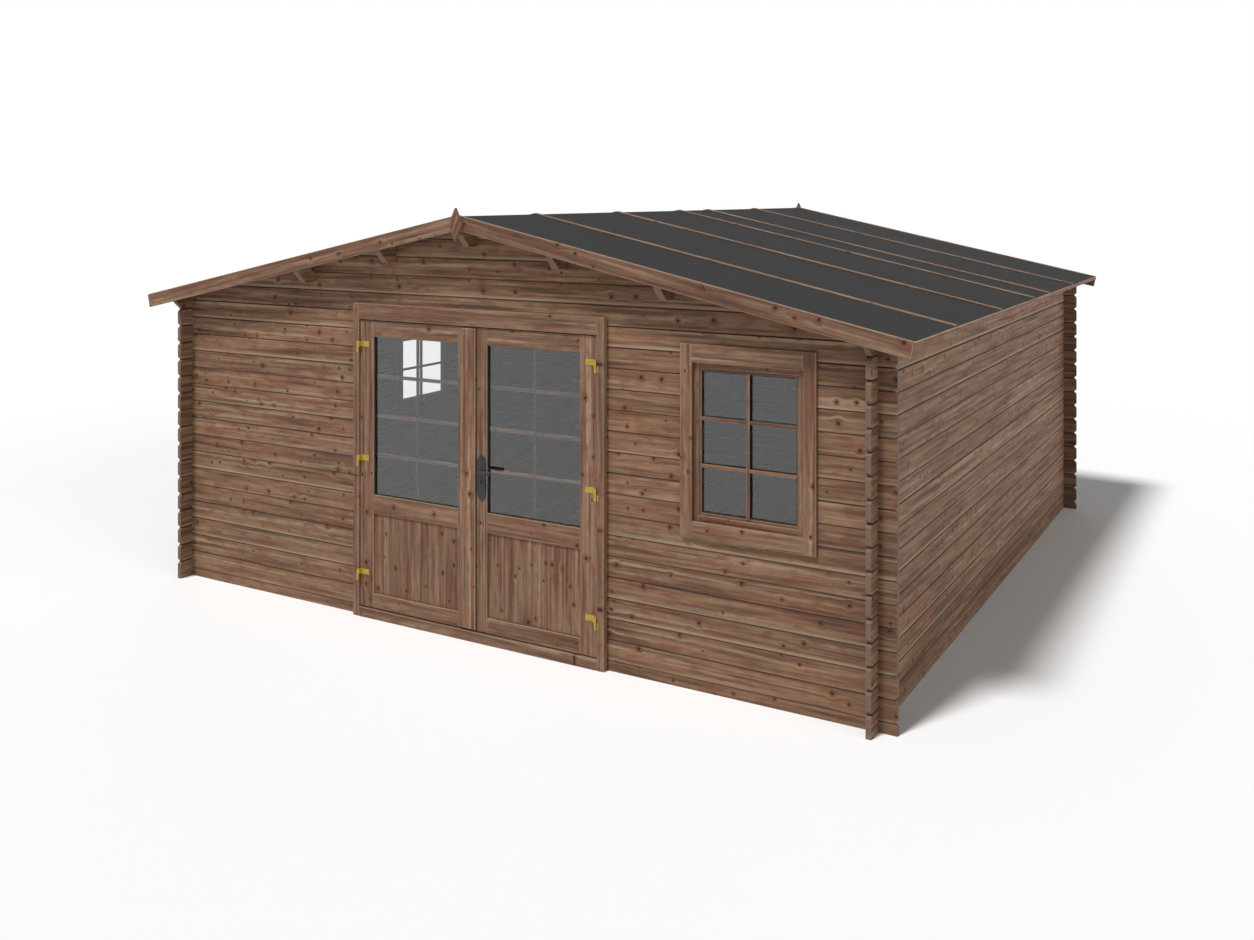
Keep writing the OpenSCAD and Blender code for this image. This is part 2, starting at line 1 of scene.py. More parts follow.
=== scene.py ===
# %% [markdown]
# # A log-built garden shed
# The shed is a log cabin of thin spruce logs with a low felted roof, a glazed double door and two
# windows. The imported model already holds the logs, the roof's form and everything that moves.
# This lesson dresses it: it keeps the solids whose shape is right and gives them a finish, and it
# builds the boards, bars, seals and fittings anew wherever the real ones have eased edges.

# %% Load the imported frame
import math
import random

import bmesh
import bpy
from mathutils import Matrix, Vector


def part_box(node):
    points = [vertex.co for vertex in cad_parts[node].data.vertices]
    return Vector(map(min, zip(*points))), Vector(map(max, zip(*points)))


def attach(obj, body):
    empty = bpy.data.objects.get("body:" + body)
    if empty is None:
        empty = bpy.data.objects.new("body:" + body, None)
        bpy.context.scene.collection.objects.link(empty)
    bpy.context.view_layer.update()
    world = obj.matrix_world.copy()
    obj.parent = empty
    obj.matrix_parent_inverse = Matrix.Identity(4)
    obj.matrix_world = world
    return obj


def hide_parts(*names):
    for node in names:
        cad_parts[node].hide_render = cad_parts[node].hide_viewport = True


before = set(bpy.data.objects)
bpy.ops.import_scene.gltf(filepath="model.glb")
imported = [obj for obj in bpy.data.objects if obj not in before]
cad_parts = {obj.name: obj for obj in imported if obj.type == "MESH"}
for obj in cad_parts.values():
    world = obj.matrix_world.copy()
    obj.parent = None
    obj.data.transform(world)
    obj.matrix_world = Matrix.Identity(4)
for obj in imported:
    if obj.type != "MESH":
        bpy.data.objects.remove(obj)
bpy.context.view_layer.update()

# %% [markdown]
# ## Two small tools for every material
# Colours are easier to judge as the hex values a paint chart gives, but shaders count in linear
# light, so one function turns the first into the second. Node trees read best when each node is
# one line, so the other function adds a node, sets its properties, and sets or links its sockets.

# %% Colour and node helpers
MM = 0.001


def linear(hex_colour):
    """An sRGB hex colour as linear RGBA."""
    channels = [int(hex_colour[i:i + 2], 16) / 255 for i in (1, 3, 5)]
    return (*[c / 12.92 if c <= 0.04045 else ((c + 0.055) / 1.055) ** 2.4 for c in channels], 1.0)


def add(tree, kind, sockets=None, **settings):
    """Adds a shader node. A socket given a node or its output is linked, and other values are set."""
    node = tree.nodes.new("ShaderNode" + kind)
    for name, value in settings.items():
        setattr(node, name, value)
    for name, value in (sockets or {}).items():
        if isinstance(value, bpy.types.Node):
            value = value.outputs[0]
        if isinstance(value, bpy.types.NodeSocket):
            tree.links.new(value, node.inputs[name])
        else:
            node.inputs[name].default_value = value
    return node


def new_material(name):
    """An empty material with its node tree and its surface shader."""
    material = bpy.data.materials.new(name)
    material.use_nodes = True
    return material, material.node_tree, material.node_tree.nodes["Principled BSDF"]


print("mid grey in linear light is", round(linear("#808080")[0], 3))

# %% [markdown]
# ## Camera
# The photograph was taken with a level camera: its uprights are parallel. Tilting the camera down
# would make them lean, so the lens is shifted down instead, as on a view camera. The place, the
# turn and the lens come from the wall corners in the photograph and the log height.

# %% Camera
eye = Vector((4.292, -8.079, 2.600))
view_turn = math.radians(30)
camera_data = bpy.data.cameras.new("photo_camera")
camera_data.sensor_width = 36
camera_data.lens = 34.58
camera_data.shift_y = -0.2196
camera = bpy.data.objects.new("photo_camera", camera_data)
camera.location = eye
camera.rotation_euler = (math.radians(90), 0, view_turn)
bpy.context.collection.objects.link(camera)
bpy.context.scene.camera = camera
bpy.context.scene.view_settings.view_transform = "Standard"
print("camera stands", round(eye.length, 2), "m from the shed's middle")

# %% [markdown]
# ## Studio light
# The shadow beside the shed says where the key light stands: high in front, a little to the left,
# and about ten degrees across, which gives the soft edge. A low wide fill from the right keeps the
# long wall as light as the front, a weaker one from behind lights the back, and a pale sky fills
# the rest. Suns are used because a floor lit by them is even all over.

# %% Lamps
key_travel = Vector((0.175, 0.57, -1.0))
fill_travel = Vector((-0.93, 0.30, -0.15))
back_travel = Vector((0.35, -0.90, -0.15))
# Each lamp: the way its light travels, its strength, and how wide it looks in degrees.
lamps = {
    "key_light": (key_travel, 3.05, 10.6),
    "fill_light": (fill_travel, 1.35, 50),
    "back_light": (back_travel, 0.50, 60),
}
for lamp_name, (travel, strength, across_deg) in lamps.items():
    lamp_data = bpy.data.lights.new(lamp_name, "SUN")
    lamp_data.energy = strength
    lamp_data.angle = math.radians(across_deg)
    lamp = bpy.data.objects.new(lamp_name, lamp_data)
    lamp.rotation_euler = travel.to_track_quat("-Z", "Y").to_euler()
    bpy.context.collection.objects.link(lamp)
print("lamps:", ", ".join(lamps))

# %% [markdown]
# ## White ground
# The photograph stands the shed on white. Paper lit evenly would do in a studio. Here the sky is
# pale for the light that reaches the shed, and plain white for what the camera, a reflection or a
# pane of glass sees of it. The floor is pale paper near the shed, so that it keeps the shadow, and
# turns to the same white further out, so that no horizon shows.

# %% Sky and floor
SKY_LEVEL = 0.17
FLOOR_PAPER = "#f2f2f2"
FLOOR_SIZE = 400.0
WHITE_FROM = 5.5
WHITE_FULL = 10.0


def seen_directly(tree):
    """1 for rays from the camera, a gloss or a pane, and 0 once they have met a matt surface."""
    path = add(tree, "LightPath")
    mirror = add(tree, "Math",
                 {0: path.outputs["Is Camera Ray"], 1: path.outputs["Is Glossy Ray"]}, operation="ADD")
    direct = add(tree, "Math", {0: mirror, 1: path.outputs["Is Transmission Ray"]}, operation="ADD")
    first = add(tree, "Math", {0: path.outputs["Diffuse Depth"], 1: 0.5}, operation="LESS_THAN")
    return add(tree, "Math", {0: direct, 1: first}, operation="MULTIPLY", use_clamp=True).outputs[0]


world = bpy.data.worlds.new("studio_sky")
bpy.context.scene.world = world
world.use_nodes = True
sky_tree = world.node_tree
sky_tone = add(sky_tree, "Mix",
               {0: seen_directly(sky_tree), 6: (SKY_LEVEL, SKY_LEVEL, SKY_LEVEL, 1), 7: (1, 1, 1, 1)},
               data_type="RGBA")
sky_tree.links.new(sky_tone.outputs[2], sky_tree.nodes["Background"].inputs["Color"])

paper, paper_tree, paper_surface = new_material("studio_paper")
place = add(paper_tree, "NewGeometry")
reach = add(paper_tree, "VectorMath", {0: place.outputs["Position"]}, operation="LENGTH")
far = add(paper_tree, "MapRange",
          {"Value": reach.outputs["Value"], "From Min": WHITE_FROM, "From Max": WHITE_FULL},
          interpolation_type="SMOOTHSTEP")
whitened = add(paper_tree, "Math", {0: far, 1: seen_directly(paper_tree)}, operation="MULTIPLY")
paper_tone = add(paper_tree, "Mix",
                 {0: whitened, 6: linear(FLOOR_PAPER), 7: (0, 0, 0, 1)}, data_type="RGBA")
paper_tree.links.new(paper_tone.outputs[2], paper_surface.inputs["Base Color"])
paper_tree.links.new(whitened.outputs[0], paper_surface.inputs["Emission Strength"])
paper_surface.inputs["Emission Color"].default_value = (1, 1, 1, 1)
paper_surface.inputs["Roughness"].default_value = 1.0
paper_surface.inputs["Specular IOR Level"].default_value = 0.0

bpy.ops.mesh.primitive_plane_add(size=FLOOR_SIZE)
floor = bpy.context.object
floor.name = "studio_floor"
floor.data.materials.append(paper)
print("floor is", FLOOR_SIZE, "m wide")

# %% [markdown]
# ## Stained spruce
# Logs and boards are planed spruce with a brown impregnation. The eye sees long streaks of light
# and dark along the fibres, some pale greyish bands, redder patches where the stain went deep, and
# many small dark knots with a reddish ring that the streaks flow around. A picture of wood would
# repeat, so the pattern is grown from noise on grain coordinates: x along the fibres, y across
# them and z into the board, in metres. Every log and board gets its own stretch of that pattern.

# %% Sizes of the wood pattern
KNOT_CELL = 110 * MM
KNOT_SHARE = 0.42
KNOT_RADIUS = (3.5 * MM, 10.5 * MM)
FLOW_STRENGTH = 0.8
# Where each part of a knot starts and stops fading, in radii of the knot.
KNOT_FADES = {"core": (0.7, 1.15), "ring": (0.8, 3.4), "flow": (0.0, 6.0)}
RING_WIDTH = 5 * MM
# A wave texture runs through 20 radians a metre at scale 1, so a ring is then this wide in metres.
RING_PHASE = 6.28 / 20
GRAIN_RELIEF = 0.7 * MM
GRAIN_ROUGH = (0.78, 0.58)
# How far along, across and into the pattern a log or board may start, in metres.
GRAIN_SHIFT = (60.0, 25.0, 9.0)
# Each streak layer: its length along the fibres, its width across them, and its detail.
STREAKS = {
    "bands": (0.55, 24 * MM, 3),
    "fibre": (0.14, 3.2 * MM, 2),
    "redness": (0.13, 36 * MM, 3),
    "paleness": (1.6, 24 * MM, 2),
    "lines": (0.45, 6 * MM, 2),
    "mottle": (0.06, 34 * MM, 3),
}
LOG_TONES = {
    "deep": "#4c362a", "stain": "#71533d", "light": "#856750", "pale": "#98836a", "red": "#6b3e2d",
    "knot": "#30140b", "ring": "#5c301f", "joint": "#33201a", "end_dark": "#624a3e", "end_light": "#866b5c",
}
TRIM_TONES = {
    "deep": "#4f3629", "stain": "#6d4f3d", "light": "#80644f", "pale": "#978269", "red": "#6c3e2c",
    "knot": "#32150b", "ring": "#5e3220", "joint": "#33201a", "end_dark": "#5c4337", "end_light": "#7c6050",
}
# Painted shade: the door's upright bars take these darker tones, for the shade on their sides.
SHADED_BAR_TONES = {
    **TRIM_TONES,
    "deep": "#2a1b14", "stain": "#3b2a1f", "light": "#47362a", "pale": "#554939", "red": "#3b2016",
}
print("knots on average every", round(KNOT_CELL / math.sqrt(KNOT_SHARE) / MM), "mm")

# %% [markdown]
# Knots come first, because the streaks depend on them. Cells of a Voronoi pattern place them, and
# a random number picks the cells that hold one. Near a knot the across coordinate is drawn in
# towards its middle, which makes every streak bend around it as real fibres do.

# %% Knots and the flow around them


def knots_in(tree, grain):
    """Knot core, reddish ring and the grain coordinates bent around the knots."""
    cell = add(tree, "TexVoronoi", {"Vector": grain, "Scale": 1 / KNOT_CELL}, voronoi_dimensions="2D")
    pick = add(tree, "SeparateColor", {"Color": cell.outputs["Color"]})
    present = add(tree, "Math", {0: pick.outputs["Red"], 1: 1 - KNOT_SHARE}, operation="GREATER_THAN")
    radius = add(tree, "MapRange",
                 {"Value": pick.outputs["Green"], "To Min": KNOT_RADIUS[0] / KNOT_CELL,
                  "To Max": KNOT_RADIUS[1] / KNOT_CELL})
    ratio = add(tree, "Math", {0: cell.outputs["Distance"], 1: radius}, operation="DIVIDE")
    parts = {}
    for part, (inner, outer) in KNOT_FADES.items():
        fade = add(tree, "MapRange",
                   {"Value": ratio, "From Min": inner, "From Max": outer,
                    "To Min": 1.0, "To Max": 0.0}, interpolation_type="SMOOTHSTEP")
        parts[part] = add(tree, "Math", {0: fade, 1: present}, operation="MULTIPLY").outputs[0]
    here = add(tree, "SeparateXYZ", {0: grain})
    middle = add(tree, "SeparateXYZ", {0: cell.outputs["Position"]})
    offset = add(tree, "Math", {0: middle.outputs["Y"], 1: here.outputs["Y"]}, operation="SUBTRACT")
    pull = add(tree, "Math", {0: parts["flow"], 1: FLOW_STRENGTH}, operation="MULTIPLY")
    across = add(tree, "Math", {0: offset, 1: pull, 2: here.outputs["Y"]}, operation="MULTIPLY_ADD")
    bent = add(tree, "CombineXYZ", {"X": here.outputs["X"], "Y": across, "Z": here.outputs["Z"]})
    return parts["core"], parts["ring"], bent.outputs[0]


# %% [markdown]
# The colour is then built up in coats, as a painter would glaze it: a deep ground, the stain, its
# lights, the pale bands, the red patches, thin dark lines, and last the knots. End grain shows
# growth rings instead, which a ring wave around the fibres' direction gives.

# %% Stained spruce


def shaded(tree, colour, amount, low, high, start=0.0, stop=1.0):
    """A colour times a factor that goes from low to high as an amount goes from start to stop."""
    factor = add(tree, "MapRange", {"Value": amount, "From Min": start, "From Max": stop,
                                    "To Min": low, "To Max": high})
    return add(tree, "Mix", {0: 1.0, 6: colour, 7: factor},
               data_type="RGBA", blend_type="MULTIPLY").outputs[2]


def spruce(tree, surface, grain, chance, end, tones):
    """Draws stained spruce on grain coordinates, and returns its colour before any edge wear."""
    core, ring, bent = knots_in(tree, grain)
    streak = {}
    for label, (length, width, detail) in STREAKS.items():
        scaled = add(tree, "VectorMath",
                     {0: bent, 1: (1 / length, 1 / width, 1 / width)}, operation="MULTIPLY")
        streak[label] = add(tree, "TexNoise",
                            {"Vector": scaled, "Scale": 1.0, "Detail": detail}).outputs[0]
    # Each coat: what it follows, where that starts and ends, its strength, and its tone.
    coats = [
        (streak["bands"], 0.32, 0.48, 1.0, "stain"),
        (streak["bands"], 0.47, 0.66, 0.9, "light"),
        (streak["paleness"], 0.56, 0.68, 0.65, "pale"),
        (streak["redness"], 0.51, 0.67, 0.66, "red"),
        (streak["lines"], 0.60, 0.70, 0.45, "deep"),
        (ring, 0.0, 1.0, 0.7, "ring"),
        (core, 0.0, 1.0, 1.0, "knot"),
    ]
    colour = linear(tones["deep"])
    for amount, low, high, strength, tone in coats:
        factor = add(tree, "MapRange",
                     {"Value": amount, "From Min": low, "From Max": high, "To Max": strength})
        colour = add(tree, "Mix",
                     {0: factor, 6: colour, 7: linear(tones[tone])}, data_type="RGBA").outputs[2]
    shades = ((streak["fibre"], 0.75, 1.25), (streak["mottle"], 0.75, 1.25), (chance, 0.88, 1.12))
    for amount, low, high in shades:
        colour = shaded(tree, colour, amount, low, high)
    rings = add(tree, "TexWave",
                {"Vector": grain, "Scale": RING_PHASE / RING_WIDTH, "Distortion": 1.5, "Detail": 2.0},
                wave_type="RINGS", rings_direction="X")
    cut = add(tree, "Mix",
              {0: rings.outputs["Fac"], 6: linear(tones["end_dark"]), 7: linear(tones["end_light"])},
              data_type="RGBA")
    colour = add(tree, "Mix", {0: end, 6: colour, 7: cut.outputs[2]}, data_type="RGBA").outputs[2]
    height = add(tree, "Math", {0: streak["fibre"], 1: streak["bands"]}, operation="ADD")
    relief = add(tree, "Math", {0: height, 1: core}, operation="SUBTRACT")
    bump = add(tree, "Bump", {"Strength": 0.6, "Distance": GRAIN_RELIEF, "Height": relief})
    rough = add(tree, "MapRange",
                {"Value": streak["bands"], "To Min": GRAIN_ROUGH[0], "To Max": GRAIN_ROUGH[1]})
    tree.links.new(bump.outputs[0], surface.inputs["Normal"])
    tree.links.new(rough.outputs[0], surface.inputs["Roughness"])
    surface.inputs["Specular IOR Level"].default_value = 0.3
    return colour


# %% [markdown]
# ### Logs
# A log wall is one imported solid for many logs, so the material finds each log by its height: the
# courses are 114 mm, and the front and back walls start with a half log because the corners cross.
# A random number per course shifts the grain and tints the log. Stain gathers in the joints, more
# in some than in others, which draws a dark line, and some logs are paler along their lower edge.
# Past the corners the log ends are darker: partly the stain that end grain soaks up, and partly
# painted shade for the shade the crossing log ends cast on each other.

# %% Log material
COURSE = 114 * MM
JOIST_PITCH = 0.4694
FRONT_JOINT = 5.5 * MM
SIDE_JOINT = 7.5 * MM
PALE_RUN = 0.7
PALE_EDGE = (8 * MM, 26 * MM)
PALE_STRENGTH = 0.75
PALE_PICK = (0.95, 1.4)
JOINT_WEIGHT = (0.5, 1.0)
END_FACING = 0.6
# Past these reaches along a log the colour darkens: soaked-in stain and painted shade on the log ends.
SOAK_AND_SHADE_FROM = 2.395
SOAK_AND_SHADE_FULL = 2.435
SOAK_AND_PAINTED_SHADE = 0.80
AXIS_SOCKETS = ("X", "Y", "Z")


def piece_by_place(tree, along, stack, pitch, shift):
    """Grain, random number, end grain, course and reach, for pieces stacked along an axis."""
    where = add(tree, "TexCoord")
    at = add(tree, "SeparateXYZ", {0: where.outputs["Object"]})
    course = add(tree, "Math", {0: at.outputs[stack], 1: -shift}, operation="ADD")
    count = add(tree, "Math", {0: course, 1: pitch}, operation="DIVIDE")
    number = add(tree, "Math", {0: count}, operation="FLOOR")
    depth = next(a for a in AXIS_SOCKETS if a not in (along, stack))
    side = add(tree, "Math", {0: at.outputs[depth]}, operation="FLOOR")
    key = add(tree, "CombineXYZ", {"X": number, "Y": side})
    draw = add(tree, "TexWhiteNoise", {"Vector": key}, noise_dimensions="2D")
    shift_by = add(tree, "VectorMath", {0: draw.outputs["Color"], 1: GRAIN_SHIFT}, operation="MULTIPLY")
    plain = add(tree, "CombineXYZ",
                {"X": at.outputs[along], "Y": at.outputs[stack], "Z": at.outputs[depth]})
    grain = add(tree, "VectorMath", {0: plain, 1: shift_by}, operation="ADD")
    facing = add(tree, "NewGeometry")
    normal = add(tree, "SeparateXYZ", {0: facing.outputs["Normal"]})
    square = add(tree, "Math", {0: normal.outputs[along]}, operation="ABSOLUTE")
    end = add(tree, "Math", {0: square, 1: END_FACING}, operation="GREATER_THAN")
    reach = add(tree, "Math", {0: at.outputs[along]}, operation="ABSOLUTE")
    return grain.outputs[0], draw.outputs["Value"], end.outputs[0], count.outputs[0], reach.outputs[0]


def log_edges(tree, colour, grain, count, pitch, joint_line):
    """Draws the stain along the joints between logs, and a paler lower edge on some logs."""
    within = add(tree, "Math", {0: count}, operation="FRACT")
    joint = add(tree, "Math", {0: count}, operation="ROUND")
    draw = add(tree, "TexWhiteNoise", {"W": joint}, noise_dimensions="1D")
    pick = add(tree, "SeparateColor", {"Color": draw.outputs["Color"]})
    full, gone = (height / pitch for height in PALE_EDGE)
    edge = add(tree, "MapRange",
               {"Value": within, "From Min": full, "From Max": gone,
                "To Min": PALE_STRENGTH, "To Max": 0.0}, interpolation_type="SMOOTHSTEP")
    run = add(tree, "VectorMath", {0: grain, 1: (1 / PALE_RUN, 1.0, 1.0)}, operation="MULTIPLY")
    come_and_go = add(tree, "TexNoise", {"Vector": run, "Scale": 1.0, "Detail": 2.0})
    here = add(tree, "Math", {0: pick.outputs["Red"], 1: come_and_go}, operation="ADD")
    some = add(tree, "MapRange", {"Value": here, "From Min": PALE_PICK[0], "From Max": PALE_PICK[1]})
    paler = add(tree, "Math", {0: edge, 1: some}, operation="MULTIPLY")
    colour = add(tree, "Mix",
                 {0: paler, 6: colour, 7: linear(LOG_TONES["pale"])}, data_type="RGBA").outputs[2]
    off = add(tree, "Math", {0: count, 1: joint}, operation="SUBTRACT")
    away = add(tree, "Math", {0: off}, operation="ABSOLUTE")
    near = add(tree, "MapRange",
               {"Value": away, "From Min": joint_line / 2 / pitch,
                "From Max": joint_line / pitch, "To Min": 1.0, "To Max": 0.0})
    weight = add(tree, "MapRange",
                 {"Value": pick.outputs["Green"], "To Min": JOINT_WEIGHT[0], "To Max": JOINT_WEIGHT[1]})
    seam = add(tree, "Math", {0: near, 1: weight}, operation="MULTIPLY")
    return add(tree, "Mix", {0: seam, 6: colour, 7: linear(LOG_TONES["joint"])},
               data_type="RGBA").outputs[2]


def stacked_spruce(name, along, stack, pitch, shift, joint_line=0.0):
    """Stained spruce for pieces that lie side by side along one axis."""
    material, tree, surface = new_material(name)
    grain, chance, end, count, reach = piece_by_place(tree, along, stack, pitch, shift)
    colour = spruce(tree, surface, grain, chance, end, LOG_TONES)
    if joint_line:
        colour = log_edges(tree, colour, grain, count, pitch, joint_line)
        # Log ends past the corners are darkened for soaked-in stain and as painted shade.
        colour = shaded(tree, colour, reach, 1.0, SOAK_AND_PAINTED_SHADE, SOAK_AND_SHADE_FROM, SOAK_AND_SHADE_FULL)
    tree.links.new(colour, surface.inputs["Base Color"])
    return material


front_log_wood = stacked_spruce("stained_spruce_front_logs", "X", "Z", COURSE, COURSE / 2, FRONT_JOINT)
side_log_wood = stacked_spruce("stained_spruce_side_logs", "Y", "Z", COURSE, 0.0, SIDE_JOINT)
joist_wood = stacked_spruce("stained_spruce_joists", "X", "Y", JOIST_PITCH, 0.0)
print("log materials:", front_log_wood.name, side_log_wood.name)

# %% [markdown]
# ### Boards
# A board that is built here carries its own grain coordinates as an attribute on its mesh, with a
# random number for its tint. Faces across the fibres are marked as end grain, and the narrow faces
# of an eased edge are marked as worn: handling rubs the stain off edges first, which is the light
# line that every stile and trim board shows in the photograph.

# %% Board material


def board_spruce(name, tones, wear):
    """Stained spruce for boards that carry their grain as attributes."""
    material, tree, surface = new_material(name)
    grain = add(tree, "Attribute", attribute_name="grain").outputs["Vector"]
    chance, end, worn = (add(tree, "Attribute", attribute_name=label).outputs["Fac"]
                         for label in ("board_chance", "end_grain", "worn_edge"))
    colour = spruce(tree, surface, grain, chance, end, tones)
    rub = add(tree, "Math", {0: worn, 1: wear}, operation="MULTIPLY")
    colour = add(tree, "Mix", {0: rub, 6: colour, 7: linear(tones["pale"])},
                 data_type="RGBA").outputs[2]
    tree.links.new(colour, surface.inputs["Base Color"])
    return material


trim_wood = board_spruce("stained_spruce_trim", TRIM_TONES, wear=0.5)
board_wood = board_spruce("stained_spruce_boards", LOG_TONES, wear=0.1)
# The upright bars get a darker copy of the trim stain as painted shade.
shade_painted_upright_wood = board_spruce("shade_painted_spruce_bars", SHADED_BAR_TONES, wear=0.0)
print("board materials:", trim_wood.name, board_wood.name, shade_painted_upright_wood.name)

# %% [markdown]
# ## Other finishes
# No real surface has one even colour. The felt, the metals and the rubber waver between two close
# tones, over patches as large as the grit, the cloud or the bloom on each, so one function makes
# that start for all of them.

# %% Two-tone start


def mottled(name, patch, detail, dark, light):
    """A material that wavers between two tones: its parts, the noise it follows and the tone."""
    material, tree, surface = new_material(name)
    at = add(tree, "TexCoord").outputs["Object"]
    noise = add(tree, "TexNoise", {"Vector": at, "Scale": 1 / patch, "Detail": detail})
    tone = add(tree, "Mix", {0: noise, 6: linear(dark), 7: linear(light)}, data_type="RGBA").outputs[2]
    tree.links.new(tone, surface.inputs["Base Color"])
    return material, tree, surface, noise, tone


# %% [markdown]
# Roofing felt is bitumen with slate grit pressed in: matt, dark grey, and slightly mottled. The
# grit is about a millimetre, too fine to show at this distance, so it is drawn at four. Wide soft
# clouds lie over it.

# %% Roofing felt
GRIT = 4 * MM
CLOUDS_A_METRE = 1.3
felt, felt_tree, felt_surface, grit, grit_tone = mottled(
    "slate_grit_felt", GRIT, 2.0, "#222223", "#3f3f40")
felt_at = add(felt_tree, "TexCoord").outputs["Object"]
cloud = add(felt_tree, "TexNoise", {"Vector": felt_at, "Scale": CLOUDS_A_METRE, "Detail": 3.0})
felt_tone = shaded(felt_tree, grit_tone, cloud, 0.90, 1.10)
felt_bump = add(felt_tree, "Bump", {"Strength": 0.5, "Distance": 1 * MM, "Height": grit})
felt_tree.links.new(felt_tone, felt_surface.inputs["Base Color"])
felt_tree.links.new(felt_bump.outputs[0], felt_surface.inputs["Normal"])
felt_surface.inputs["Roughness"].default_value = 0.95
felt_surface.inputs["Specular IOR Level"].default_value = 0.05
print("felt grit drawn at", GRIT / MM, "mm")

# %% [markdown]
# Window glass is clear, perfectly smooth, and seen mostly by what it reflects. Float glass has an
# index of 1.52 and mirrors eight per cent of the white surroundings. The panes in the photograph are
# a lighter grey than that gives over a dark room, as double panes would be, so the index is set a
# little higher.

# %% Glass
glass, _, glass_surface = new_material("float_glass")
glass_surface.inputs["Base Color"].default_value = linear("#fdfefe")
glass_surface.inputs["Roughness"].default_value = 0.0
glass_surface.inputs["IOR"].default_value = 1.62
glass_surface.inputs["Transmission Weight"].default_value = 1.0
print("glass index", glass_surface.inputs["IOR"].default_value)

# %% [markdown]
# The hinges are steel with a yellow passivated zinc coat, which looks like pale brass with cloudy
# patches. The handle set is cast zinc with a slate grey powder coat: satin, with the faint
# orange-peel that powder leaves. The keyhole is a near-black disc on the plate: painted shade for
# the dark inside the hole. The glazing seals are black rubber, and their black also paints the
# shade in the reveals and beside the bars.

# %% Metals and rubber
hinge_zinc, zinc_tree, zinc_surface, zinc_cloud, _ = mottled(
    "yellow_zinc_hinge", 9 * MM, 3.0, "#7c6516", "#ccb04a")
zinc_rough = add(zinc_tree, "MapRange", {"Value": zinc_cloud, "To Min": 0.30, "To Max": 0.50})
zinc_tree.links.new(zinc_rough.outputs[0], zinc_surface.inputs["Roughness"])
zinc_surface.inputs["Metallic"].default_value = 0.4

handle_coat, coat_tree, coat_surface, peel, _ = mottled(
    "slate_powder_coat", 2.5 * MM, 1.0, "#26262a", "#36343b")
coat_bump = add(coat_tree, "Bump", {"Strength": 0.3, "Distance": 0.3 * MM, "Height": peel})
coat_tree.links.new(coat_bump.outputs[0], coat_surface.inputs["Normal"])
coat_surface.inputs["Roughness"].default_value = 0.45
coat_surface.inputs["Specular IOR Level"].default_value = 0.3

# Painted shade: the keyhole is a near-black disc that stands for the dark inside the hole.
keyhole_painted_shade, _, keyhole_shade_surface, _, _ = mottled("painted_keyhole_shade", 6 * MM, 2.0, "#040405", "#101012")
keyhole_shade_surface.inputs["Roughness"].default_value = 0.6
keyhole_shade_surface.inputs["Specular IOR Level"].default_value = 0.1

# Black rubber for seals and spacers; its black also paints the shade in the reveals and beside the bars.
rubber, _, rubber_surface, _, _ = mottled("black_rubber_and_painted_shade", 30 * MM, 3.0, "#0a0a0a", "#1b1a19")
rubber_surface.inputs["Roughness"].default_value = 0.6
print("fittings:", hinge_zinc.name, handle_coat.name, keyhole_painted_shade.name, rubber.name)

# %% [markdown]
# ## Walls, felt and glass keep their solids
# These solids have the right shape already: the logs have their grooved joints and eased ends, the
# felt its folds and the panes their thickness. So they only change material.

# %% Dress the solids


def dress(material, *names):
    """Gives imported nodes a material."""
    for name in names:
        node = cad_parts[name]
        if not node.material_slots:
            node.data.materials.append(material)
        for slot in node.material_slots:
            slot.material = material
    print(material.name, "on", len(names), "nodes")


front_nodes = ["front_wall_left", "front_wall_under_window", "front_wall_middle", "front_wall_corner",
               "front_wall_over_window", "front_gable", "back_wall"]
side_nodes = ["left_wall_lower", "left_wall_front", "left_wall_back", "left_wall_upper", "right_wall"]
dress(front_log_wood, *front_nodes)
dress(side_log_wood, *side_nodes)
dress(joist_wood, "floor_joists")
dress(felt, "roof_felt_left", "roof_felt_right")
dress(glass, "left_leaf_glass", "right_leaf_glass", "front_window_glass", "left_window_glass")

# %% [markdown]
# ## Shaped stock
# Everything else is sawn or cast stock: an outline drawn through one axis, with eased edges. One
# class gathers several of them into a mesh, because a door frame is one piece of the shed though
# it is made of many boards. Bevelling each board before it joins the mesh keeps the joints between
# boards visible, as thin dark lines.

# %% Shaped stock
EASED = 2.5 * MM
# How far two directions agree, from 0 to 1, to count as one face, as one line, or as end grain.
SAME_FACE = 0.999
SAME_LINE = 0.9
ACROSS_FIBRES = 0.7
AXES = {"x": Vector((1, 0, 0)), "y": Vector((0, 1, 0)), "z": Vector((0, 0, 1))}
PLACE = {"x": lambda u, v, w: (w, u, v), "y": lambda u, v, w: (u, w, v), "z": lambda u, v, w: (u, v, w)}
grain_draw = random.Random(11)


def rect(u0, u1, v0, v1):
    """The outline of a rectangle."""
    return [(u0, v0), (u1, v0), (u1, v1), (u0, v1)]


def eased_prism(outline, span, through, ease):
    """Points, faces and face normals of an outline drawn through an axis, with eased edges."""
    shape = bmesh.new()
    near, far_end = ([shape.verts.new(PLACE[through](u, v, w)) for u, v in outline] for w in span)
    shape.faces.new(near)
    shape.faces.new(far_end)
    for i in range(len(outline)):
        j = (i + 1) % len(outline)
        shape.faces.new((near[i], near[j], far_end[j], far_end[i]))
    bmesh.ops.recalc_face_normals(shape, faces=shape.faces)
    sides = [f.normal.copy() for f in shape.faces]
    bmesh.ops.bevel(shape, geom=shape.edges[:], offset=ease, segments=2, profile=0.5,
                    affect="EDGES", clamp_overlap=True)
    shape.verts.index_update()
    points = [v.co.copy() for v in shape.verts]
    faces = [[v.index for v in f.verts] for f in shape.faces]
    normals = [f.normal.copy() for f in shape.faces]
    worn = [float(max(n.dot(s) for s in sides) < SAME_FACE) for n in normals]
    shape.free()
    return points, faces, normals, worn


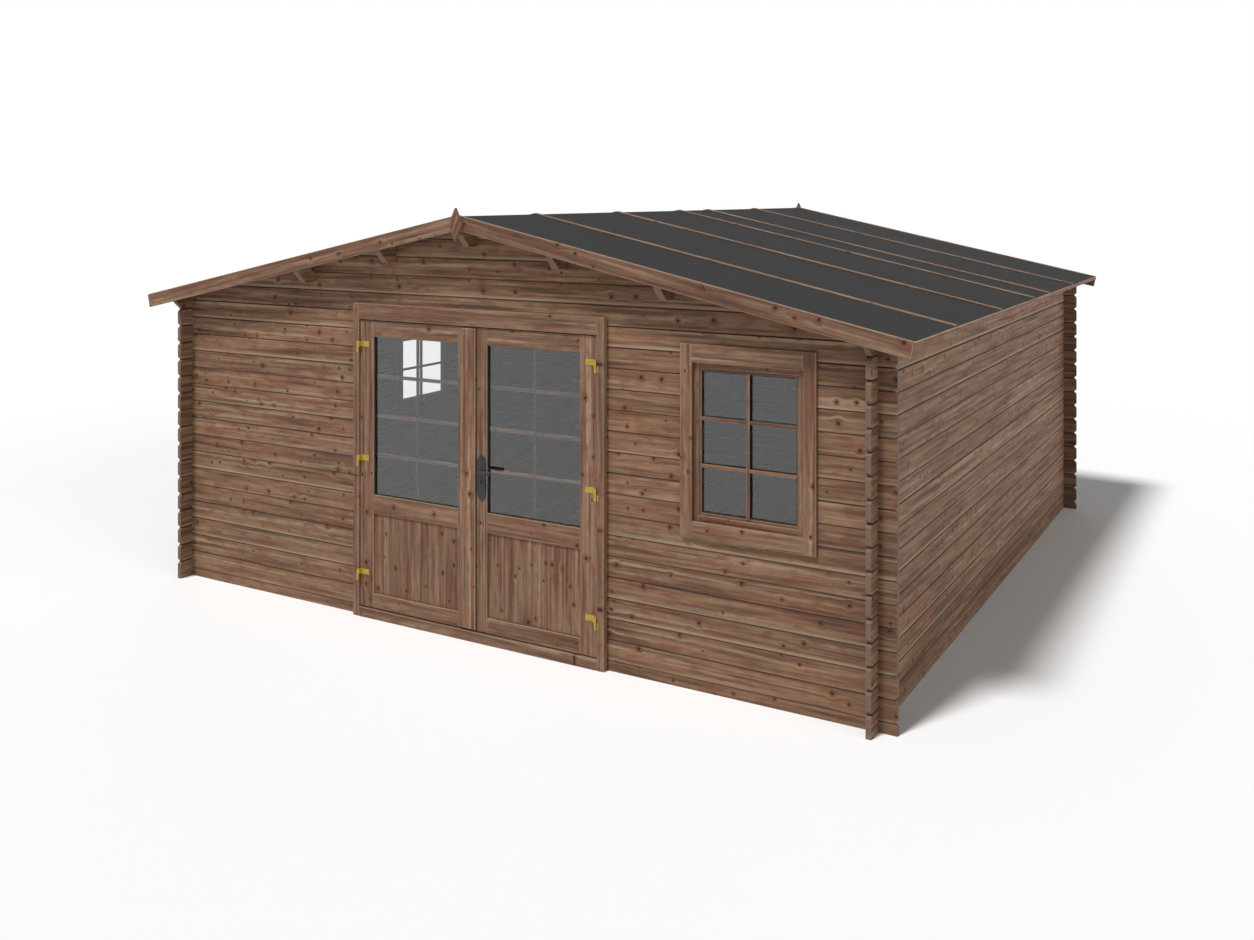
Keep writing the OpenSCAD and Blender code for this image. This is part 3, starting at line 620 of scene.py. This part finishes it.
class Stock:
    """Shaped stock gathered into one mesh, each with its own stretch of grain."""

    def __init__(self):
        self.points, self.faces = [], []
        self.grain, self.chance, self.end, self.worn = [], [], [], []

    def cut(self, outline, span, through, grain="z", ease=EASED):
        """Adds one board. grain is an axis name or a direction."""
        points, faces, normals, worn = eased_prism(outline, span, through, ease)
        fibre = AXES[grain] if isinstance(grain, str) else Vector(grain).normalized()
        sides = [a - a.dot(fibre) * fibre for a in AXES.values() if abs(a.dot(fibre)) < SAME_LINE]
        first = sides[0].normalized()
        second = fibre.cross(first)
        reach = {i: max(p.dot(d) for p in points) - min(p.dot(d) for p in points)
                 for i, d in enumerate((first, second))}
        wide, thin = (first, second) if reach[0] >= reach[1] else (second, first)
        shift = Vector([grain_draw.uniform(0, limit) for limit in GRAIN_SHIFT])
        chance = grain_draw.random()
        start = len(self.points)
        self.points += points
        self.faces += [[start + i for i in face] for face in faces]
        self.grain += [Vector((p.dot(fibre), p.dot(wide), p.dot(thin))) + shift for p in points]
        self.chance += [chance] * len(points)
        self.end += [float(abs(n.dot(fibre)) > ACROSS_FIBRES) for n in normals]
        self.worn += worn

    def piece(self, name, body, slot, material, *nodes):
        """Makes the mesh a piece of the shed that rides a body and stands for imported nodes."""
        mesh = bpy.data.meshes.new(name)
        mesh.from_pydata(self.points, [], self.faces)
        mesh.attributes.new("grain", "FLOAT_VECTOR", "POINT").data.foreach_set(
            "vector", [c for g in self.grain for c in g])
        mesh.attributes.new("board_chance", "FLOAT", "POINT").data.foreach_set("value", self.chance)
        mesh.attributes.new("end_grain", "FLOAT", "FACE").data.foreach_set("value", self.end)
        mesh.attributes.new("worn_edge", "FLOAT", "FACE").data.foreach_set("value", self.worn)
        mesh.materials.append(material)
        made = bpy.data.objects.new(name, mesh)
        bpy.context.collection.objects.link(made)
        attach(made, body)
        if nodes:
            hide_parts(*nodes)
        print(f"{name}: {len(mesh.polygons)} faces on {body}")


# %% [markdown]
# ## Door frame
# Two posts clasp the cut log ends, a head joins them above and a threshold below. The posts and
# the head are each one rebated timber with a stop behind the leaves, and the threshold is a plain
# timber. The sections follow the imported solids, so the sizes are read from their boxes.

# %% Door frame
STOP_W = 14 * MM
FRAME_LAP = 22 * MM
LEAF_GAP = 6 * MM
FRAME_EASE = 5 * MM
LINTEL_EASE = 3 * MM
SILL_EASE = 4 * MM
wall_lo, wall_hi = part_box("front_wall_left")
post_lo, post_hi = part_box("door_post_right")
head_lo, head_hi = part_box("door_head")
sill_lo, sill_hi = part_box("door_threshold")
leaf_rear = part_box("left_leaf_frame")[1].y
stop_y = leaf_rear + LEAF_GAP
clear_x = post_lo.x + STOP_W
doorway_x = post_hi.x - FRAME_LAP
post_outline = [
    (clear_x, post_lo.y), (post_hi.x, post_lo.y), (post_hi.x, wall_lo.y), (doorway_x, wall_lo.y),
    (doorway_x, wall_hi.y), (post_hi.x, wall_hi.y), (post_hi.x, post_hi.y), (post_lo.x, post_hi.y),
    (post_lo.x, stop_y), (clear_x, stop_y),
]
for side, sign in (("right", 1), ("left", -1)):
    post = Stock()
    post.cut([(sign * x, y) for x, y in post_outline], (post_lo.z, post_hi.z), "z", "z", FRAME_EASE)
    post.piece(f"door_post_timber_{side}", "building", "stained_trim", trim_wood, f"door_post_{side}")

head_low = head_lo.z + STOP_W
lap_z = head_hi.z - FRAME_LAP
head = Stock()
head.cut([(head_lo.y, head_low), (stop_y, head_low), (stop_y, head_lo.z), (head_hi.y, head_lo.z),
          (head_hi.y, head_hi.z), (wall_hi.y, head_hi.z), (wall_hi.y, lap_z), (wall_lo.y, lap_z),
          (wall_lo.y, head_hi.z), (head_lo.y, head_hi.z)],
         (head_lo.x, head_hi.x), "x", "x", LINTEL_EASE)
head.piece("door_head_timber", "building", "stained_trim", trim_wood, "door_head")
sill = Stock()
sill_outline = rect(sill_lo.y, sill_hi.y, sill_lo.z, sill_hi.z)
sill.cut(sill_outline, (sill_lo.x, sill_hi.x), "x", "x", SILL_EASE)
sill.piece("door_threshold_timber", "building", "stained_trim", trim_wood, "door_threshold")

# %% [markdown]
# ## Door leaves
# A leaf is framed joinery: two stiles run its full height, three rails fit between them, a panel
# of upright boards fills the bottom and one pane the top. The pane lies in a black rubber lining,
# whose black also paints the shade on the sides of the opening. Thin bars stand behind the pane to
# look like small panes: cross bars in the colour of the leaf, and an upright in a darker copy of
# that stain, as painted shade for the shade on its sides. Making the leaf from the same number of
# boards as the real one lets each have its own grain direction. Bars that cross are set a hair
# apart in depth, because two faces in one plane flicker.

# %% Door leaves
GLAZE_GROOVE = 8 * MM
PANEL_BOARD = 106 * MM
LEAF_EASE = 4 * MM
PANEL_EASE = 5 * MM
DOOR_LINING_T = 1.5 * MM
DOOR_LINING_IN = 6 * MM
SEAL_EASE = 0.5 * MM
DOOR_BAR = 21 * MM
DOOR_UPRIGHT = 17 * MM
DOOR_BAR_T = 10 * MM
DOOR_BAR_SET = 2 * MM
DOOR_BAR_EASE = 2 * MM
DOOR_PANES = (2, 4)
CROSS_SET = 0.6 * MM
# The level direction along a wall, for stock drawn through it.
ACROSS = {"x": "y", "y": "x"}


def between(low, high, parts):
    """The inner division points of a length."""
    return [low + (high - low) * i / parts for i in range(1, parts)]


def boards_over(low, high, width):
    """The two edges of each board, where boards of about one width cover a length."""
    edges = [low, *between(low, high, round((high - low) / width)), high]
    return list(zip(edges, edges[1:]))


def inset(outer, width):
    """A rectangle drawn in on all four sides."""
    u0, u1, v0, v1 = outer
    return (u0 + width, u1 - width, v0 + width, v1 - width)


def border(stock, through, outer, inner, span, ease):
    """Four strips between two rectangles, with the uprights running through."""
    u0, u1, v0, v1 = outer
    a0, a1, b0, b1 = inner
    for side in (rect(u0, a0, v0, v1), rect(a1, u1, v0, v1)):
        stock.cut(side, span, through, "z", ease)
    for side in (rect(a0, a1, v0, b0), rect(a0, a1, b1, v1)):
        stock.cut(side, span, through, ACROSS[through], ease)


for side in ("left", "right"):
    body = f"{side}_door"
    lo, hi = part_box(f"{side}_leaf_frame")
    pane_lo, pane_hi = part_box(f"{side}_leaf_glass")
    panel_lo, panel_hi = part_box(f"{side}_leaf_panel")
    x0, x1 = pane_lo.x + GLAZE_GROOVE, pane_hi.x - GLAZE_GROOVE
    pane_z0, pane_z1 = pane_lo.z + GLAZE_GROOVE, pane_hi.z - GLAZE_GROOVE
    panel_z0, panel_z1 = panel_lo.z + GLAZE_GROOVE, panel_hi.z - GLAZE_GROOVE
    depth = (lo.y, hi.y)
    joinery = Stock()
    for stile in (rect(lo.x, x0, lo.z, hi.z), rect(x1, hi.x, lo.z, hi.z)):
        joinery.cut(stile, depth, "y", "z", LEAF_EASE)
    for rail_z0, rail_z1 in ((lo.z, panel_z0), (panel_z1, pane_z0), (pane_z1, hi.z)):
        joinery.cut(rect(x0, x1, rail_z0, rail_z1), depth, "y", "x", LEAF_EASE)
    joinery.piece(f"{side}_leaf_joinery", body, "stained_trim", trim_wood, f"{side}_leaf_frame")

    panel = Stock()
    panel_depth = (panel_lo.y, panel_hi.y)
    for left, right in boards_over(x0, x1, PANEL_BOARD):
        panel.cut(rect(left, right, panel_z0, panel_z1), panel_depth, "y", "z", PANEL_EASE)
    panel.piece(f"{side}_panel_boards", body, "stained_trim", trim_wood, f"{side}_leaf_panel")

    # The lining is black rubber, and its black also paints the shade on the sides of the opening.
    lining = Stock()
    opening = (x0, x1, pane_z0, pane_z1)
    for span in ((lo.y + DOOR_LINING_IN, pane_lo.y), (pane_hi.y, hi.y - DOOR_LINING_IN)):
        border(lining, "y", opening, inset(opening, DOOR_LINING_T), span, SEAL_EASE)
    lining.piece(f"{side}_leaf_seal", body, None, rubber)

    # The upright takes the darker, shade-painted copy of the stain.
    upright = Stock()
    span = (pane_hi.y + DOOR_BAR_SET, pane_hi.y + DOOR_BAR_SET + DOOR_BAR_T)
    for x in between(x0, x1, DOOR_PANES[0]):
        line = rect(x - DOOR_UPRIGHT / 2, x + DOOR_UPRIGHT / 2, pane_z0, pane_z1)
        upright.cut(line, span, "y", "z", DOOR_BAR_EASE)
    upright.piece(f"{side}_leaf_upright_bar", body, "stained_trim", shade_painted_upright_wood)
    bars = Stock()
    cross_span = [y + CROSS_SET for y in span]
    for z in between(pane_z0, pane_z1, DOOR_PANES[1]):
        bars.cut(rect(x0, x1, z - DOOR_BAR / 2, z + DOOR_BAR / 2), cross_span, "y", "x", DOOR_BAR_EASE)
    bars.piece(f"{side}_leaf_bars", body, "stained_trim", trim_wood)

# %% [markdown]
# The cover strip on the left leaf hides the joint between the leaves. Its long edges are well
# rounded, because hands pass it every time the door is used.

# %% Cover strip
STRIP_EASE = 4.5 * MM
lo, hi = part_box("cover_strip")
strip = Stock()
strip.cut(rect(lo.x, hi.x, lo.z, hi.z), (lo.y, hi.y), "y", "z", STRIP_EASE)
strip.piece("cover_strip_board", "left_door", "stained_trim", trim_wood, "cover_strip")

# %% [markdown]
# ## Windows
# Both windows are the same: trim boards cover the cut in the logs, a fixed frame shows as a narrow
# step, and the casement stands a little behind it. Wooden bars on black spacers lie in front of
# the pane, and a black seal rings it; their black also paints the shade beside the bars and in the
# reveal. The front window is drawn through Y and the left one through X.

# %% Windows
TRIM_SIDE = 68 * MM
TRIM_TOP = 97 * MM
TRIM_BOTTOM = 88 * MM
TRIM_EASE = 4 * MM
CASEMENT_EASE = 3 * MM
STEP_W = 14 * MM
STEP_T = 8 * MM
STEP_EASE = 2.5 * MM
LINING_T = 4 * MM
LINING_SET = 0.5 * MM
WINDOW_BAR = 19 * MM
WINDOW_BAR_T = 3.5 * MM
BAR_SET = 1 * MM
BAR_EASE = 1.2 * MM
SPACER = 18.4 * MM
WINDOW_PANES = (2, 3)


def flat(corner, through):
    """A corner's place across the wall, its height and its depth in the wall."""
    return (corner.y, corner.z, corner.x) if through == "x" else (corner.x, corner.z, corner.y)


for wall, through in (("front", "y"), ("left", "x")):
    (u0, v0, w0), (u1, v1, w1) = (flat(c, through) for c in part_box(f"{wall}_window_trim"))
    hole = (u0 + TRIM_SIDE, u1 - TRIM_SIDE, v0 + TRIM_BOTTOM, v1 - TRIM_TOP)
    trim = Stock()
    border(trim, through, (u0, u1, v0, v1), hole, (w0, w1), TRIM_EASE)
    trim.piece(f"{wall}_window_trim_boards", "building", "stained_trim", trim_wood, f"{wall}_window_trim")

    (g0, h0, p0), (g1, h1, _) = (flat(c, through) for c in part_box(f"{wall}_window_glass"))
    pane = inset((g0, g1, h0, h1), GLAZE_GROOVE)
    g0, g1, h0, h1 = pane
    (s0, t0, d0), (s1, t1, d1) = (flat(c, through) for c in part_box(f"{wall}_window_sash"))
    step = inset(pane, -STEP_W)
    casement = Stock()
    border(casement, through, (s0, s1, t0, t1), step, (d0, d1), CASEMENT_EASE)
    border(casement, through, step, inset(step, STEP_W), (d0 + STEP_T, d1), STEP_EASE)
    casement.piece(f"{wall}_window_joinery", "building", "stained_trim", trim_wood, f"{wall}_window_sash")

    # Seal and spacers are black rubber, whose black also paints the shade in the reveal and beside the
    # bars.
    seal = Stock()
    border(seal, through, pane, inset(pane, LINING_T), (d0 + STEP_T + LINING_SET, p0), SEAL_EASE)
    bars = Stock()
    bar_front = d0 + BAR_SET
    bar_rear = bar_front + WINDOW_BAR_T
    for u in between(g0, g1, WINDOW_PANES[0]):
        line = rect(u - WINDOW_BAR / 2, u + WINDOW_BAR / 2, h0, h1)
        bars.cut(line, (bar_front, bar_rear), through, "z", BAR_EASE)
        seal.cut(rect(u - SPACER / 2, u + SPACER / 2, h0, h1), (bar_rear, p0), through)
    for v in between(h0, h1, WINDOW_PANES[1]):
        line = rect(g0, g1, v - WINDOW_BAR / 2, v + WINDOW_BAR / 2)
        bars.cut(line, (bar_front + CROSS_SET, bar_rear + CROSS_SET), through, ACROSS[through], BAR_EASE)
        seal.cut(rect(g0, g1, v - SPACER / 2, v + SPACER / 2), (bar_rear, p0 - CROSS_SET), through)
    seal.piece(f"{wall}_window_seal", "building", None, rubber)
    bars.piece(f"{wall}_window_bars", "building", "stained_trim", trim_wood)

# %% [markdown]
# ## Roof
# Five purlins run the length of the shed and carry the roof. Their ends show under the gables, cut
# back at 45 degrees. They are drawn from the side, because that is where the cut shows.

# %% Purlins
PURLIN_W = 45 * MM
PURLIN_CUT = (68 * MM, 68 * MM)
PURLIN_EASE = 3 * MM
RIDGE_DEEPER = 20 * MM
PITCH = math.radians(12)
SLOPE = math.tan(PITCH)


def purlin(stock, x0, z0, z1, end_y):
    """One purlin, with a slanted cut under both ends."""
    back, rise = PURLIN_CUT
    profile = [(-end_y, z0 + rise), (back - end_y, z0), (end_y - back, z0), (end_y, z0 + rise),
               (end_y, z1), (-end_y, z1)]
    stock.cut(profile, (x0, x0 + PURLIN_W), "x", "y", PURLIN_EASE)


lo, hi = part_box("ridge_purlin")
ridge = Stock()
purlin(ridge, lo.x, lo.z - RIDGE_DEEPER, hi.z - PURLIN_W / 2 * SLOPE, hi.y)
ridge.piece("ridge_purlin_beam", "building", "stained_logs", board_wood, "ridge_purlin")
for side in ("left", "right"):
    lo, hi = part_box(f"{side}_purlins")
    inner_x = min(abs(lo.x), abs(hi.x))
    outer_x = max(abs(lo.x), abs(hi.x)) - PURLIN_W
    drop = (outer_x - inner_x) * SLOPE
    depth = hi.z - lo.z - drop - PURLIN_W * SLOPE
    pair = Stock()
    for x, low in ((inner_x, lo.z + drop), (outer_x, lo.z)):
        purlin(pair, x if side == "right" else -x - PURLIN_W, low, low + depth, hi.y)
    pair.piece(f"{side}_purlin_beams", "building", "stained_logs", board_wood, f"{side}_purlins")

# %% [markdown]
# Boards run from the ridge to the eaves on top of the purlins, and show from below and under the
# overhangs. Felt covers them, battens hold its seams, a strip closes the eaves and bargeboards
# close the gables, with a diamond finial where they meet.

# %% Roof boards
ROOF_BOARD = 96 * MM
ROOF_BOARD_T = 18 * MM / math.cos(PITCH)
ROOF_EASE = 3 * MM


def slope_line(sign):
    """The line of a slope: the right one for 1 and the left one for -1."""
    return (math.cos(PITCH), 0, -sign * math.sin(PITCH))


for side, sign in (("right", 1), ("left", -1)):
    lo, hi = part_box(f"roof_boards_{side}")
    eaves = max(abs(lo.x), abs(hi.x))
    ridge_z = hi.z - ROOF_BOARD_T
    outline = [(0.0, ridge_z), (sign * eaves, ridge_z - eaves * SLOPE),
               (sign * eaves, ridge_z - eaves * SLOPE + ROOF_BOARD_T), (0.0, hi.z)]
    cover = Stock()
    for span in boards_over(lo.y, hi.y, ROOF_BOARD):
        cover.cut(outline, span, "y", slope_line(sign), ROOF_EASE)
    cover.piece(f"roof_boarding_{side}", "building", "stained_logs", board_wood, f"roof_boards_{side}")

# %% Battens and eaves strips
BATTEN_T = 8 * MM / math.cos(PITCH)
BATTEN_EASE = 2 * MM
RIDGE_SEAM = 0.5 * MM
batten_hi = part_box("felt_battens")[1]
batten_edges = sorted({round(v.co.y, 4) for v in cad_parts["felt_battens"].data.vertices})
battens = Stock()
for sign in (1, -1):
    eaves = batten_hi.x
    top = batten_hi.z
    outline = [(sign * RIDGE_SEAM, top - BATTEN_T), (sign * eaves, top - BATTEN_T - eaves * SLOPE),
               (sign * eaves, top - eaves * SLOPE), (sign * RIDGE_SEAM, top)]
    for span in zip(batten_edges[::2], batten_edges[1::2]):
        battens.cut(outline, span, "y", slope_line(sign), BATTEN_EASE)
battens.piece("felt_batten_strips", "building", "stained_trim", board_wood, "felt_battens")

EAVES_STRIP = 14 * MM
EAVES_EASE = 3 * MM
lo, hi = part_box("eaves_strips")
strips = Stock()
for left, right in ((lo.x, lo.x + EAVES_STRIP), (hi.x - EAVES_STRIP, hi.x)):
    strips.cut(rect(left, right, lo.z, hi.z), (lo.y, hi.y), "y", "y", EAVES_EASE)
strips.piece("eaves_strip_boards", "building", "stained_trim", trim_wood, "eaves_strips")

# %% Bargeboards and finials
BARGE_EASE = 4 * MM
for end_name in ("front", "back"):
    lo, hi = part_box(f"{end_name}_bargeboards")
    tip_z = hi.z - (hi.x - RIDGE_SEAM) * SLOPE
    width = (tip_z - lo.z) / math.cos(PITCH)
    barge = Stock()
    for sign in (1, -1):
        outline = [(sign * RIDGE_SEAM, hi.z), (sign * RIDGE_SEAM, hi.z - width / math.cos(PITCH)),
                   (sign * (hi.x - width * math.sin(PITCH)), lo.z), (sign * hi.x, tip_z)]
        barge.cut(outline, (lo.y, hi.y), "y", slope_line(sign), BARGE_EASE)
    barge.piece(f"{end_name}_barge_pair", "building", "stained_trim", trim_wood, f"{end_name}_bargeboards")

FINIAL_T = 24 * MM
FINIAL_DROP = 12 * MM
FINIAL_WIDER = 1.22
FINIAL_EASE = 1.2 * MM
lo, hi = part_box("finials")
middle = (lo.z + hi.z) / 2 - FINIAL_DROP
corner_x = hi.x * FINIAL_WIDER
diamond = [(0, lo.z - FINIAL_DROP), (corner_x, middle), (0, hi.z - FINIAL_DROP), (-corner_x, middle)]
edge_line = (corner_x, 0, (hi.z - lo.z) / 2)
diamonds = Stock()
for span in ((lo.y, lo.y + FINIAL_T), (hi.y - FINIAL_T, hi.y)):
    diamonds.cut(diamond, span, "y", edge_line, FINIAL_EASE)
diamonds.piece("finial_diamonds", "building", "stained_trim", trim_wood, "finials")

# %% [markdown]
# ## Floor
# Tongued boards lie across the joists. They show when the doors stand open.

# %% Floor boards
FLOOR_BOARD = 113 * MM
FLOOR_EASE = 2 * MM
lo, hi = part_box("floor_boards")
planks = Stock()
for left, right in boards_over(lo.x, hi.x, FLOOR_BOARD):
    planks.cut(rect(left, right, lo.z, hi.z), (lo.y, hi.y), "y", "y", FLOOR_EASE)
planks.piece("floor_planks", "building", "floor_wood", board_wood, "floor_boards")

# %% [markdown]
# ## Hinges
# Each leaf hangs on three lift-off hinges. The leaf's half is a screwed plate, a cranked strap and
# the upper barrel, and the frame's half is the lower barrel with a narrow plate. They are drawn
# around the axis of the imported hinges, which are found by the gaps between their heights, so they
# turn with the leaf without rubbing.

# %% Hinges
BARREL_R = 7 * MM
BARREL_GAP = 1 * MM
HINGE_PLATE_T = 3 * MM
HINGE_EASE = 0.8 * MM
PLATE_LONGER = 24 * MM
FRAME_PLATE = 17 * MM
STRAP = (2.5 * MM, 12.5 * MM)
ROUND_SIDES = 20
HEAD_PROUD = 1.4 * MM
HEAD_EASE = 0.6 * MM
SCREW_R = 3.8 * MM
LEAF_SCREWS = ((10 * MM, 7 * MM), (28 * MM, -7 * MM), (46 * MM, 7 * MM))
FRAME_SCREW_IN = 5 * MM
HINGE_APART = 0.2


def disc(u, v, radius):
    """A round outline."""
    turns = [2 * math.pi * i / ROUND_SIDES for i in range(ROUND_SIDES)]
    return [(u + radius * math.cos(t), v + radius * math.sin(t)) for t in turns]


def hinge_heights(name):
    """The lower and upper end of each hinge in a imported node."""
    heights = sorted(v.co.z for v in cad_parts[name].data.vertices)
    steps = [i for i in range(1, len(heights)) if heights[i] - heights[i - 1] > HINGE_APART]
    return [(heights[i], heights[j - 1]) for i, j in zip([0, *steps], [*steps, len(heights)])]


def screw(stock, x, z, face):
    """A screw head on a plate that faces the front."""
    stock.cut(disc(x, z, SCREW_R), (face - HEAD_PROUD, face + HEAD_PROUD), "y", "z", HEAD_EASE)


frame_halves = Stock()
frame_face = post_lo.y - HINGE_PLATE_T
for side, sign in (("left", -1), ("right", 1)):
    lo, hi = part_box(f"{side}_leaf_hinges")
    axis_x = sign * (max(abs(lo.x), abs(hi.x)) - BARREL_R)
    axis_y = lo.y + BARREL_R
    plate_end = sign * (min(abs(lo.x), abs(hi.x)) - PLATE_LONGER)
    strap_near, strap_far = (axis_x - sign * s for s in STRAP)
    leaf_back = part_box(f"{side}_leaf_frame")[0].y
    leaf_face = leaf_back - HINGE_PLATE_T
    barrel = disc(axis_x, axis_y, BARREL_R)
    leaf_halves = Stock()
    for low, high in hinge_heights(f"{side}_leaf_hinges"):
        middle = (low + high) / 2
        leaf_halves.cut(barrel, (low, high), "z", "z", HINGE_EASE)
        strap = rect(*sorted((strap_near, strap_far)), axis_y - BARREL_R / 2, leaf_back)
        leaf_halves.cut(strap, (low, high), "z", "z", HINGE_EASE)
        plate = rect(*sorted((plate_end, (strap_near + strap_far) / 2)), low, high)
        leaf_halves.cut(plate, (leaf_face, leaf_back), "y", "x", HINGE_EASE)
        for inward, rise in LEAF_SCREWS:
            screw(leaf_halves, plate_end + sign * inward, middle + rise, leaf_face)
        below = (low - BARREL_GAP - (high - low), low - BARREL_GAP)
        frame_halves.cut(barrel, below, "z", "z", HINGE_EASE)
        frame_end = axis_x + sign * FRAME_PLATE
        frame_plate = rect(*sorted((axis_x, frame_end)), *below)
        frame_halves.cut(frame_plate, (frame_face, post_lo.y), "y", "x", HINGE_EASE)
        screw(frame_halves, frame_end - sign * FRAME_SCREW_IN, sum(below) / 2, frame_face)
    leaf_halves.piece(f"{side}_hinge_halves", f"{side}_door", "hinge_brass", hinge_zinc,
                      f"{side}_leaf_hinges")
frame_halves.piece("frame_hinge_halves", "building", "hinge_brass", hinge_zinc, "frame_hinges")

# %% [markdown]
# ## Handle set
# The plates are castings with tapered round ends, a softly rounded rim, a keyhole and two screws.
# The lever is one bent bar: it leaves the plate round, turns, and runs along the stile as a flat
# grip, on both sides of the leaf. A ring of points moved along that path, and flattened on the way,
# gives it an even bend.

# %% Handle plates
ROUND_STEPS = 14
PLATE_T = 9 * MM
PLATE_WIDER = 1.18
PLATE_TAPER = 40 * MM
PLATE_RIM = 3 * MM
KEY_DROP = 64 * MM
KEYHOLE = (4 * MM, 12 * MM)
KEY_PROUD = 0.6 * MM
PLATE_SCREW_IN = 24 * MM
lever_lo, lever_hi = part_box("handle_lever")
lever_z = (lever_hi.z + lever_lo.z) / 2


def rounded(middle_u, low, high, radius, taper):
    """An upright outline whose ends are half ellipses."""
    arc = [math.pi * i / ROUND_STEPS for i in range(ROUND_STEPS + 1)]
    top = [(middle_u + radius * math.cos(a), high - taper + taper * math.sin(a)) for a in arc]
    bottom = [(middle_u - radius * math.cos(a), low + taper - taper * math.sin(a)) for a in arc]
    return top + bottom


lo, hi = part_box("handle_plates")
handle_x = (lo.x + hi.x) / 2
key_z = lever_z - KEY_DROP
plates = Stock()
keyholes = Stock()
plate_outline = rounded(handle_x, lo.z, hi.z, (hi.x - lo.x) / 2 * PLATE_WIDER, PLATE_TAPER)
key_outline = rounded(handle_x, key_z - KEYHOLE[1], key_z + KEYHOLE[1], KEYHOLE[0], KEYHOLE[0])
for face, back in ((lo.y, lo.y + PLATE_T), (hi.y, hi.y - PLATE_T)):
    plates.cut(plate_outline, sorted((face, back)), "y", "z", PLATE_RIM)
    for z in (lo.z + PLATE_SCREW_IN, hi.z - PLATE_SCREW_IN):
        screw(plates, handle_x, z, face)
    # The keyhole is a thin near-black disc: painted shade for the hole.
    keyholes.cut(key_outline, (face - KEY_PROUD, face + KEY_PROUD), "y", "z", KEY_PROUD / 2)
plates.piece("handle_plate_pair", "right_door", "handle_metal", handle_coat, "handle_plates")
keyholes.piece("lock_keyholes", "right_door", None, keyhole_painted_shade)

# %% Lever
LEVER_SIDES = 24
LEVER_STEPS = 8
BEND = 14 * MM
NECK_R = 7.5 * MM
GRIP_DEEP = 6.5 * MM
GRIP_HIGH = 11 * MM
TIP_EASE = 2 * MM
# Each ring at the tip: its share of TIP_EASE before the end, and of the grip's depth and height.
TIP_RINGS = ((1.0, 1.0, 1.0), (0.3, 0.9, 0.95), (0.0, 0.7, 0.85))
SQUARENESS = 0.65
out_y, in_y = lever_lo.y + GRIP_HIGH, lever_hi.y - GRIP_HIGH
tip_x = lever_hi.x


def bend_rings(y_sign):
    """Rings of the lever on one side, from the spindle to the tip: middle, half depth, half height."""
    y = out_y if y_sign < 0 else in_y
    rings = []
    for i in range(LEVER_STEPS + 1):
        share = i / LEVER_STEPS
        turn = math.pi / 2 * share
        x = handle_x + BEND * (1 - math.cos(turn))
        deep = NECK_R + (GRIP_DEEP - NECK_R) * share
        high = NECK_R + (GRIP_HIGH - NECK_R) * share
        rings.append((Vector((x, y - y_sign * BEND * (1 - math.sin(turn)), lever_z)), deep, high))
    for before, deep, high in TIP_RINGS:
        centre = Vector((tip_x - TIP_EASE * before, y, lever_z))
        rings.append((centre, GRIP_DEEP * deep, GRIP_HIGH * high))
    return rings


def squared(value):
    """Draws a circle's sine or cosine towards a square's."""
    return math.copysign(abs(value) ** SQUARENESS, value)


def sweep(name, rings, sides):
    """A bar with soft square edges through rings that stand in one level plane."""
    points, faces = [], []
    for i, (centre, deep, high) in enumerate(rings):
        ahead = (rings[min(i + 1, len(rings) - 1)][0] - rings[max(i - 1, 0)][0]).normalized()
        across = AXES["z"].cross(ahead)
        for k in range(sides):
            turn = 2 * math.pi * k / sides
            points.append(centre + deep * squared(math.cos(turn)) * across
                          + high * squared(math.sin(turn)) * AXES["z"])
    for i in range(len(rings) - 1):
        for k in range(sides):
            a, b = i * sides + k, i * sides + (k + 1) % sides
            faces.append((a, b, b + sides, a + sides))
    faces += [tuple(range(sides))[::-1], tuple(range(len(points) - sides, len(points)))]
    mesh = bpy.data.meshes.new(name)
    mesh.from_pydata(points, [], faces)
    mesh.polygons.foreach_set("use_smooth", [len(f) == 4 for f in faces])
    bar = bpy.data.objects.new(name, mesh)
    bpy.context.collection.objects.link(bar)
    return bar


lever_rings = bend_rings(-1)[::-1] + bend_rings(1)
lever = sweep("handle_lever_bar", lever_rings, LEVER_SIDES)
lever.data.materials.append(handle_coat)
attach(lever, "handle")
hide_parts("handle_lever")
print("lever swept through", len(lever_rings), "rings")
